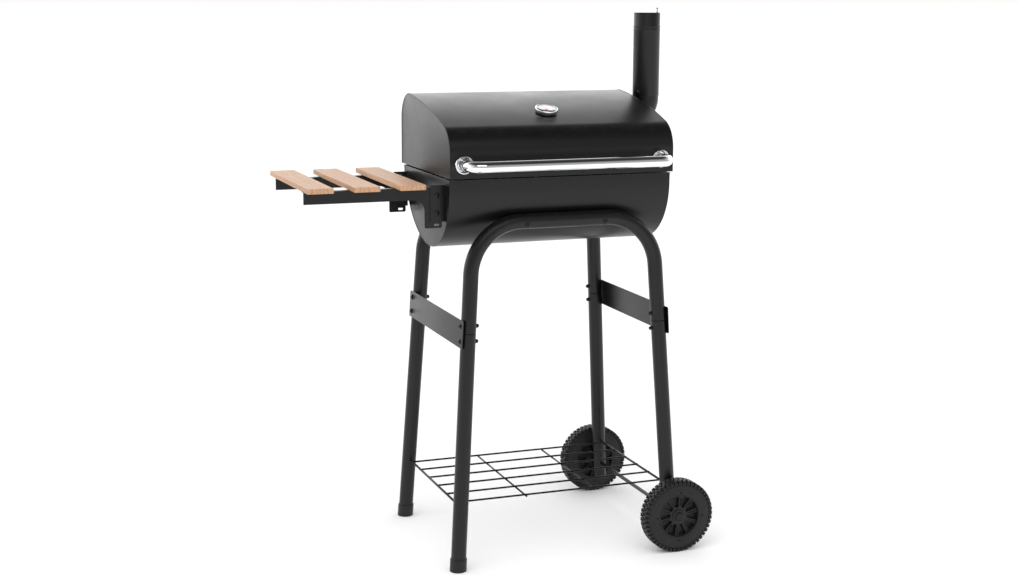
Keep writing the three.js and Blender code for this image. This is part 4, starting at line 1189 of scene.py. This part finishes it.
class GRILL_OT_wheels(bpy.types.Operator):
    """Moulds the two wheels with their treads and spokes, and makes the axle and its caps"""
    bl_idname = "grill.wheels"
    bl_label = "Wheels and axle"

    def execute(self, context):
        wheel = settings().wheel
        low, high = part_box("wheel_front")
        half = (high.y - low.y) / 2
        for face_name, face in FACES.items():
            centre = joint_place(f"{face_name}_wheel_spin")
            bm = bmesh.new()
            self.carcass(bm, centre, half, wheel)
            for side in (-1, 1):
                self.tread(bm, centre, half, wheel, side)
                self.hub_face(bm, centre, half, wheel, side)
            finish_piece(f"moulded_wheel_{face_name}", bm, f"{face_name}_wheel", "black_plastic",
                         [f"wheel_{face_name}"], bevel=0.35 * MM)

            cap_low, cap_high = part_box(f"axle_cap_{face_name}")
            seat = Vector((centre.x, cap_low.y if face > 0 else cap_high.y, centre.z))
            bm = bmesh.new()
            cap = in_mm((0, 0), (9, 0), (9, 1.2), (8.4, 2), (6.2, 2.4), (5.6, 3.8), (4.6, 4.2), (2.6, 3.6),
                        (0, 3.3))
            turn(bm, cap, seat, Y * face, 40)
            finish_piece(f"push_cap_{face_name}", bm, TROLLEY, "black_paint", [f"axle_cap_{face_name}"])

        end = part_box("axle")[1].y
        into_hub = 4.7 * MM
        sleeve_out = into_hub - high.y
        sleeve_in = leg_point(1, 1, WHEEL_RADIUS).y + settings().trolley.tube_radius + 1 * MM
        rod, sleeve = 4 * MM, 6.5 * MM
        bm = bmesh.new()
        turn(bm, [(0, -end), (rod, -end), (rod, -sleeve_out), (sleeve, -sleeve_out), (sleeve, -sleeve_in),
                  (rod, -sleeve_in), (rod, sleeve_in), (sleeve, sleeve_in), (sleeve, sleeve_out),
                  (rod, sleeve_out), (rod, end), (0, end)], (WHEEL_X, 0, WHEEL_RADIUS), Y, 32)
        finish_piece("axle_rod", bm, TROLLEY, "black_paint", ["axle"])
        return {"FINISHED"}

    def carcass(self, bm, centre, half, wheel):
        """The tyre and the dished web, turned about the axle."""
        tread = WHEEL_RADIUS - 3.4 * MM
        wall, recess = wheel.sidewall, wheel.recess
        bore = 4.4 * MM
        upper = [(bore, half - 5.2 * MM), (7 * MM, half - 5 * MM), (9.6 * MM, half - 4.8 * MM),
                 (9.6 * MM, half - 3.6 * MM), (13 * MM, half - 3.2 * MM), (14 * MM, half - 3.8 * MM),
                 (14 * MM, half - 6 * MM), (wheel.hub - 1 * MM, half - 6 * MM), (wheel.hub, half - 7 * MM),
                 (wheel.hub, half - 13.5 * MM), (recess, half - 13.5 * MM), (recess, half - 2 * MM),
                 (recess + 0.7 * MM, half - 0.5 * MM), (recess + 1.6 * MM, half - 0.1 * MM),
                 (recess + 2.6 * MM, half - 0.6 * MM), (recess + 3.1 * MM, half - 3.4 * MM),
                 (wall - 1.2 * MM, half - 3.4 * MM), (wall - 0.8 * MM, half - 1.2 * MM),
                 (wall + 1.5 * MM, half - 1.3 * MM), (wall + 6 * MM, half - 1.9 * MM),
                 (tread - 3.4 * MM, half - 3.4 * MM), (tread - 0.9 * MM, half - 6 * MM),
                 (tread, half - 9 * MM)]
        profile = upper + [(r, -y) for r, y in reversed(upper)]
        turn(bm, profile, centre, Y, 96, closed=True)

    def tread(self, bm, centre, half, wheel, side):
        """Chunky knobs in two staggered rows, the outer ones wrapping onto the sidewall."""
        edge = half / MM
        outer = [(9, -5), (9, -0.5), (9.7, 0), (edge - 4, 0), (edge - 2, -1.3), (edge - 0.7, -4.4),
                 (edge - 0.7, -6.4), (edge - 1.6, -7.8), (edge - 5, -7.8)]
        inner = [(0.6, -5), (0.6, -0.5), (1.2, 0), (7.4, 0), (8, -0.5), (8, -5)]
        pitch = 2 * math.pi / wheel.knobs
        half_width = pitch * 0.35
        for row, section in enumerate((outer, inner)):
            shift = 0.5 * ((side > 0) + row)
            for k in range(wheel.knobs):
                angle = (k + shift) * pitch
                rings = []
                for offset in (-half_width, half_width):
                    spoke = Vector((math.cos(angle + offset), 0, math.sin(angle + offset)))
                    rings.append([bm.verts.new(centre + Y * side * a * MM + spoke * (WHEEL_RADIUS + r * MM))
                                  for a, r in section])
                join_rings(bm, *rings)
                for ring in rings:
                    bm.faces.new(ring)

    def hub_face(self, bm, centre, half, wheel, side):
        """Box spokes in the recess, and the flat sidewall with its four small holes."""
        for k in range(wheel.spokes):
            angle = 2 * math.pi * (k + 0.35) / wheel.spokes
            spoke = Vector((math.cos(angle), 0, math.sin(angle)))
            across = Vector((-math.sin(angle), 0, math.cos(angle)))
            inner, outer = wheel.hub - 1 * MM, wheel.recess + 0.5 * MM
            outline = [(inner, -3 * MM), (outer, -5.2 * MM), (outer, 5.2 * MM), (inner, 3 * MM)]
            floor, top = half - 14 * MM, half - 5.6 * MM
            rings = [[bm.verts.new(centre + spoke * r + across * w * grow + Y * side * y)
                      for r, w in outline] for y, grow in ((floor, 1.0), (top, 0.86))]
            join_rings(bm, *rings)
            dish = [bm.verts.new(centre + spoke * r + across * w * 0.5 + Y * side * top)
                    for r, w in [(inner + 4 * MM, outline[0][1]), (outer - 4 * MM, outline[1][1]),
                                 (outer - 4 * MM, outline[2][1]), (inner + 4 * MM, outline[3][1])]]
            sunk = [bm.verts.new(vert.co - Y * side * 2.4 * MM) for vert in dish]
            join_rings(bm, rings[1], dish)
            join_rings(bm, dish, sunk)
            bm.faces.new(rings[0])
            bm.faces.new(sunk)
        holes = [circle((50 * MM * math.cos(a), 50 * MM * math.sin(a)), 1.9 * MM, 16)
                 for a in (math.radians(88 + 90 * k) for k in range(4))]
        thick = 2.6 * MM
        flat = Matrix(((1, 0, 0, centre.x), (0, 0, -1, centre.y + side * (half - 1.2 * MM - thick / 2)),
                       (0, 1, 0, centre.z), (0, 0, 0, 1)))
        rim = circle((0, 0), wheel.sidewall - 0.6 * MM, 96)
        add_plate(bm, [rim, circle((0, 0), wheel.recess + 2.9 * MM, 96), *holes], thick, 0.25 * MM, flat)


# ---- wire work ----
def wire(bm, a, b, radius, sides=12):
    """A straight wire with rounded ends."""
    along = (Vector(b) - Vector(a)).normalized()
    span = (Vector(b) - Vector(a)).length
    tip = radius * 0.6
    turn(bm, [(0, 0), (radius * 0.7, tip * 0.25), (radius, tip), (radius, span - tip),
              (radius * 0.7, span - tip * 0.25), (0, span)], a, along, sides)


class GRILL_OT_rack(bpy.types.Operator):
    """Welds up the wire rack between the legs"""
    bl_idname = "grill.rack"
    bl_label = "Wire rack"

    def execute(self, context):
        radius = settings().trolley.rack_wire
        low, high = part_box("bottom_rack")
        side_radius = (high.z - low.z) / 2
        z = (high.z + low.z) / 2
        left, right = low.x + side_radius, high.x - side_radius
        row_half, tail = 146 * MM, 3 * MM
        over, under = z + radius * 0.5, z - radius * 1.1
        bm = bmesh.new()
        for x in (left, right):
            wire(bm, (x, low.y, z), (x, high.y, z), side_radius, 16)
        for k in range(6):
            y = row_half * (2 * k / 5 - 1)
            wire(bm, (left - side_radius, y, over), (right + side_radius, y, over), radius)
        for k in (1, 2):
            x = left + (right - left) * k / 3
            wire(bm, (x, -row_half - tail, under), (x, row_half + tail, under), radius)
        finish_piece("wire_rack", bm, TROLLEY, "rack_wire", ["bottom_rack"])
        return {"FINISHED"}


class GRILL_OT_grates(bpy.types.Operator):
    """Welds up the cooking grates and the charcoal grate, and finishes their ledges"""
    bl_idname = "grill.grates"
    bl_label = "Grates"

    def execute(self, context):
        thin = settings().trolley.grate_wire
        for node, bars, radius in (("cooking_grate_left", 15, thin), ("cooking_grate_right", 15, thin),
                                   ("charcoal_grate", 17, thin * 1.4)):
            low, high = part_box(node)
            rim = (high.z - low.z) / 2
            z = (high.z + low.z) / 2
            corner = 14 * MM
            x0, x1, y0, y1 = low.x + rim, high.x - rim, low.y + rim, high.y - rim
            loop = rounded([(x, y, z, corner) for x, y in ((x0, y0), (x1, y0), (x1, y1), (x0, y1))],
                           closed=True, steps=8)
            bm = bmesh.new()
            sweep(bm, loop, rim, 16, closed=True)
            for k in range(1, bars):
                x = x0 + (x1 - x0) * k / bars
                wire(bm, (x, y0, z + 0.3 * MM), (x, y1, z + 0.3 * MM), min(radius, rim))
            cross_y = (y0 + y1) / 2
            wire(bm, (x0, cross_y, z - 0.4 * MM), (x1, cross_y, z - 0.4 * MM), min(radius, rim) * 0.9)
            finish_piece(f"{node}_wire", bm, TROLLEY, "grate_steel", [node])
        for face_name in FACES:
            keep_node(f"grate_ledge_{face_name}", "black_paint", 0.2 * MM)
        return {"FINISHED"}


class GRILL_OT_table(bpy.types.Operator):
    """Shapes the wooden slats and finishes the arms, brackets, bolts and screws of the side table"""
    bl_idname = "grill.table"
    bl_label = "Side table"

    def execute(self, context):
        for name in ("left", "middle", "right"):
            low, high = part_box(f"table_slat_{name}")
            bm = bmesh.new()
            block(bm, low, high)
            piece = finish_piece(f"slat_{name}", bm, TROLLEY, "pale_wood", [f"table_slat_{name}"],
                                 bevel=1.4 * MM)
            piece.modifiers["rounded edges"].segments = 4
        for face_name, face in FACES.items():
            keep_node(f"table_arm_{face_name}", "black_paint", 0.3 * MM)
            keep_node(f"table_bracket_{face_name}", "black_paint", 0.3 * MM)
            low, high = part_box(f"table_arm_{face_name}")
            outer = low.y if face < 0 else high.y
            bm = bmesh.new()
            for z in (high.z - 16 * MM, high.z - 50 * MM):
                seat = Vector((high.x - 11 * MM, outer, z))
                dome_bolt(bm, seat, Y * face, 6 * MM)
                dome_nut(bm, seat - Y * face * 3.6 * MM, -Y * face, 4.6 * MM)
            for name in ("left", "middle", "right"):
                slat_low, slat_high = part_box(f"table_slat_{name}")
                middle = (slat_low.x + slat_high.x) / 2
                for offset in (-RIVET_OFFSET, RIVET_OFFSET):
                    seat = Vector((middle + offset, outer - face * 8 * MM, high.z - 1.5 * MM))
                    dome_bolt(bm, seat, -Z, 3.2 * MM)
            finish_piece(f"table_bolts_{face_name}", bm, TROLLEY, "black_paint")
        return {"FINISHED"}


class GRILL_OT_stage(bpy.types.Operator):
    """Sets up the camera, the pale floor and the soft studio light"""
    bl_idname = "grill.stage"
    bl_label = "Studio"

    def execute(self, context):
        studio = settings().studio
        scene = context.scene
        self.camera(scene, studio)
        self.surround(scene, studio)

        bm = bmesh.new()
        turn(bm, [(radius, 0) for radius in (0, 4, 20, 120)], (0, 0, 0), Z, 64)
        mesh = bpy.data.meshes.new("floor")
        bm.to_mesh(mesh)
        bm.free()
        floor = bpy.data.objects.new("floor", mesh)
        scene.collection.objects.link(floor)
        pale, _, _, shader = new_material("pale floor", tuple(studio.floor), roughness=0.9)
        shader.inputs["Specular IOR Level"].default_value = 0.1
        mesh.materials.append(pale)

        key = self.light("soft key light", "SUN", studio.key, Vector((0.55, 0.35, -1)))
        key.data.angle = math.radians(50)
        key.visible_glossy = False

        place, target = Vector((-0.7, -2.9, 3.3)), Vector((0.1, 0, 0.8))
        box = self.light("front softbox", "AREA", studio.softbox, target - place)
        box.location = place
        box.data.shape = "RECTANGLE"
        box.data.size, box.data.size_y = 3.4, 1.5
        box.visible_camera = False
        scene.view_settings.view_transform = "Standard"
        return {"FINISHED"}

    def light(self, name, kind, energy, towards):
        data = bpy.data.lights.new(name, kind)
        data.energy = energy
        lamp = bpy.data.objects.new(name, data)
        lamp.rotation_euler = towards.to_track_quat("-Z", "Y").to_euler()
        bpy.context.scene.collection.objects.link(lamp)
        return lamp

    def camera(self, scene, studio):
        a, e, roll = studio.azimuth, studio.elevation, studio.roll
        back = Vector((math.sin(a) * math.cos(e), -math.cos(a) * math.cos(e), math.sin(e)))
        right = Vector((math.cos(a), math.sin(a), 0))
        up = back.cross(right)
        rolled_right = right * math.cos(roll) + up * math.sin(roll)
        rolled_up = up * math.cos(roll) - right * math.sin(roll)
        data = bpy.data.cameras.new("camera")
        data.lens = studio.lens
        data.clip_end = 300
        camera = bpy.data.objects.new("camera", data)
        turned = Matrix((rolled_right, rolled_up, back)).transposed().to_4x4()
        camera.matrix_world = Matrix.Translation(studio.camera) @ turned
        scene.collection.objects.link(camera)
        scene.camera = camera

    def surround(self, scene, studio):
        """White walls for the eye, even light for matt surfaces, and a dim ceiling for glossy ones."""
        world = bpy.data.worlds.new("studio")
        world.use_nodes = True
        nodes, links = world.node_tree.nodes, world.node_tree.links
        split = nodes.new("ShaderNodeSeparateXYZ")
        links.new(nodes.new("ShaderNodeTexCoord").outputs["Generated"], split.inputs[0])
        shade = nodes.new("ShaderNodeMapRange")
        shade.interpolation_type = "SMOOTHSTEP"
        links.new(split.outputs["Z"], shade.inputs["Value"])
        shade.inputs["From Min"].default_value = 0.36
        shade.inputs["From Max"].default_value = 0.84
        shade.inputs["To Min"].default_value = studio.surround
        shade.inputs["To Max"].default_value = studio.ceiling
        side = map_range(nodes, links, split.outputs["Y"], -0.5, 0.95, studio.front, studio.rear)
        walls = nodes["Background"]
        walls.inputs["Color"].default_value = (1, 1, 1, 1)
        links.new(times(nodes, links, shade.outputs["Result"], side), walls.inputs["Strength"])
        even = nodes.new("ShaderNodeBackground")
        even.inputs["Strength"].default_value = studio.ambient
        seen = nodes.new("ShaderNodeBackground")
        path = nodes.new("ShaderNodeLightPath")
        light = nodes.new("ShaderNodeMixShader")
        links.new(path.outputs["Is Glossy Ray"], light.inputs["Fac"])
        links.new(even.outputs[0], light.inputs[1])
        links.new(walls.outputs[0], light.inputs[2])
        choose = nodes.new("ShaderNodeMixShader")
        links.new(path.outputs["Is Camera Ray"], choose.inputs["Fac"])
        links.new(light.outputs[0], choose.inputs[1])
        links.new(seen.outputs[0], choose.inputs[2])
        links.new(choose.outputs[0], nodes["World Output"].inputs["Surface"])
        for background in (even, seen):
            background.inputs["Color"].default_value = (1, 1, 1, 1)
        world.cycles.sampling_method = "NONE"
        scene.world = world


OPERATORS = (
    GRILL_OT_stage, GRILL_OT_lid, GRILL_OT_bowl, GRILL_OT_vent, GRILL_OT_hinges, GRILL_OT_handle,
    GRILL_OT_thermometer, GRILL_OT_chimney, GRILL_OT_tubes, GRILL_OT_frame_bolts, GRILL_OT_side_plates,
    GRILL_OT_wheels, GRILL_OT_rack, GRILL_OT_grates, GRILL_OT_table,
)


class GRILL_PT_sidebar(bpy.types.Panel):
    """Lists the grill's pieces and their settings"""
    bl_idname = "GRILL_PT_sidebar"
    bl_label = "Barrel Grill"
    bl_space_type = "VIEW_3D"
    bl_region_type = "UI"
    bl_category = "Barrel Grill"

    def draw(self, context):
        for operator in OPERATORS:
            self.layout.operator(operator.bl_idname)
        for group in ("barrel", "trolley", "wheel", "finish", "studio"):
            holder = getattr(context.scene.grill, group)
            column = self.layout.column(heading=group.capitalize())
            for name in holder.__annotations__:
                column.prop(holder, name)


CLASSES = (BarrelSettings, TrolleySettings, WheelSettings, FinishSettings, StudioSettings, GrillSettings,
           *OPERATORS, GRILL_PT_sidebar)


def register():
    for item in CLASSES:
        bpy.utils.register_class(item)
    bpy.types.Scene.grill = PointerProperty(type=GrillSettings)


def unregister():
    del bpy.types.Scene.grill
    for item in reversed(CLASSES):
        bpy.utils.unregister_class(item)


def main():
    register()
    for operator in OPERATORS:
        group, name = operator.bl_idname.split(".")
        getattr(getattr(bpy.ops, group), name)()


if __name__ == "__main__":
    main()
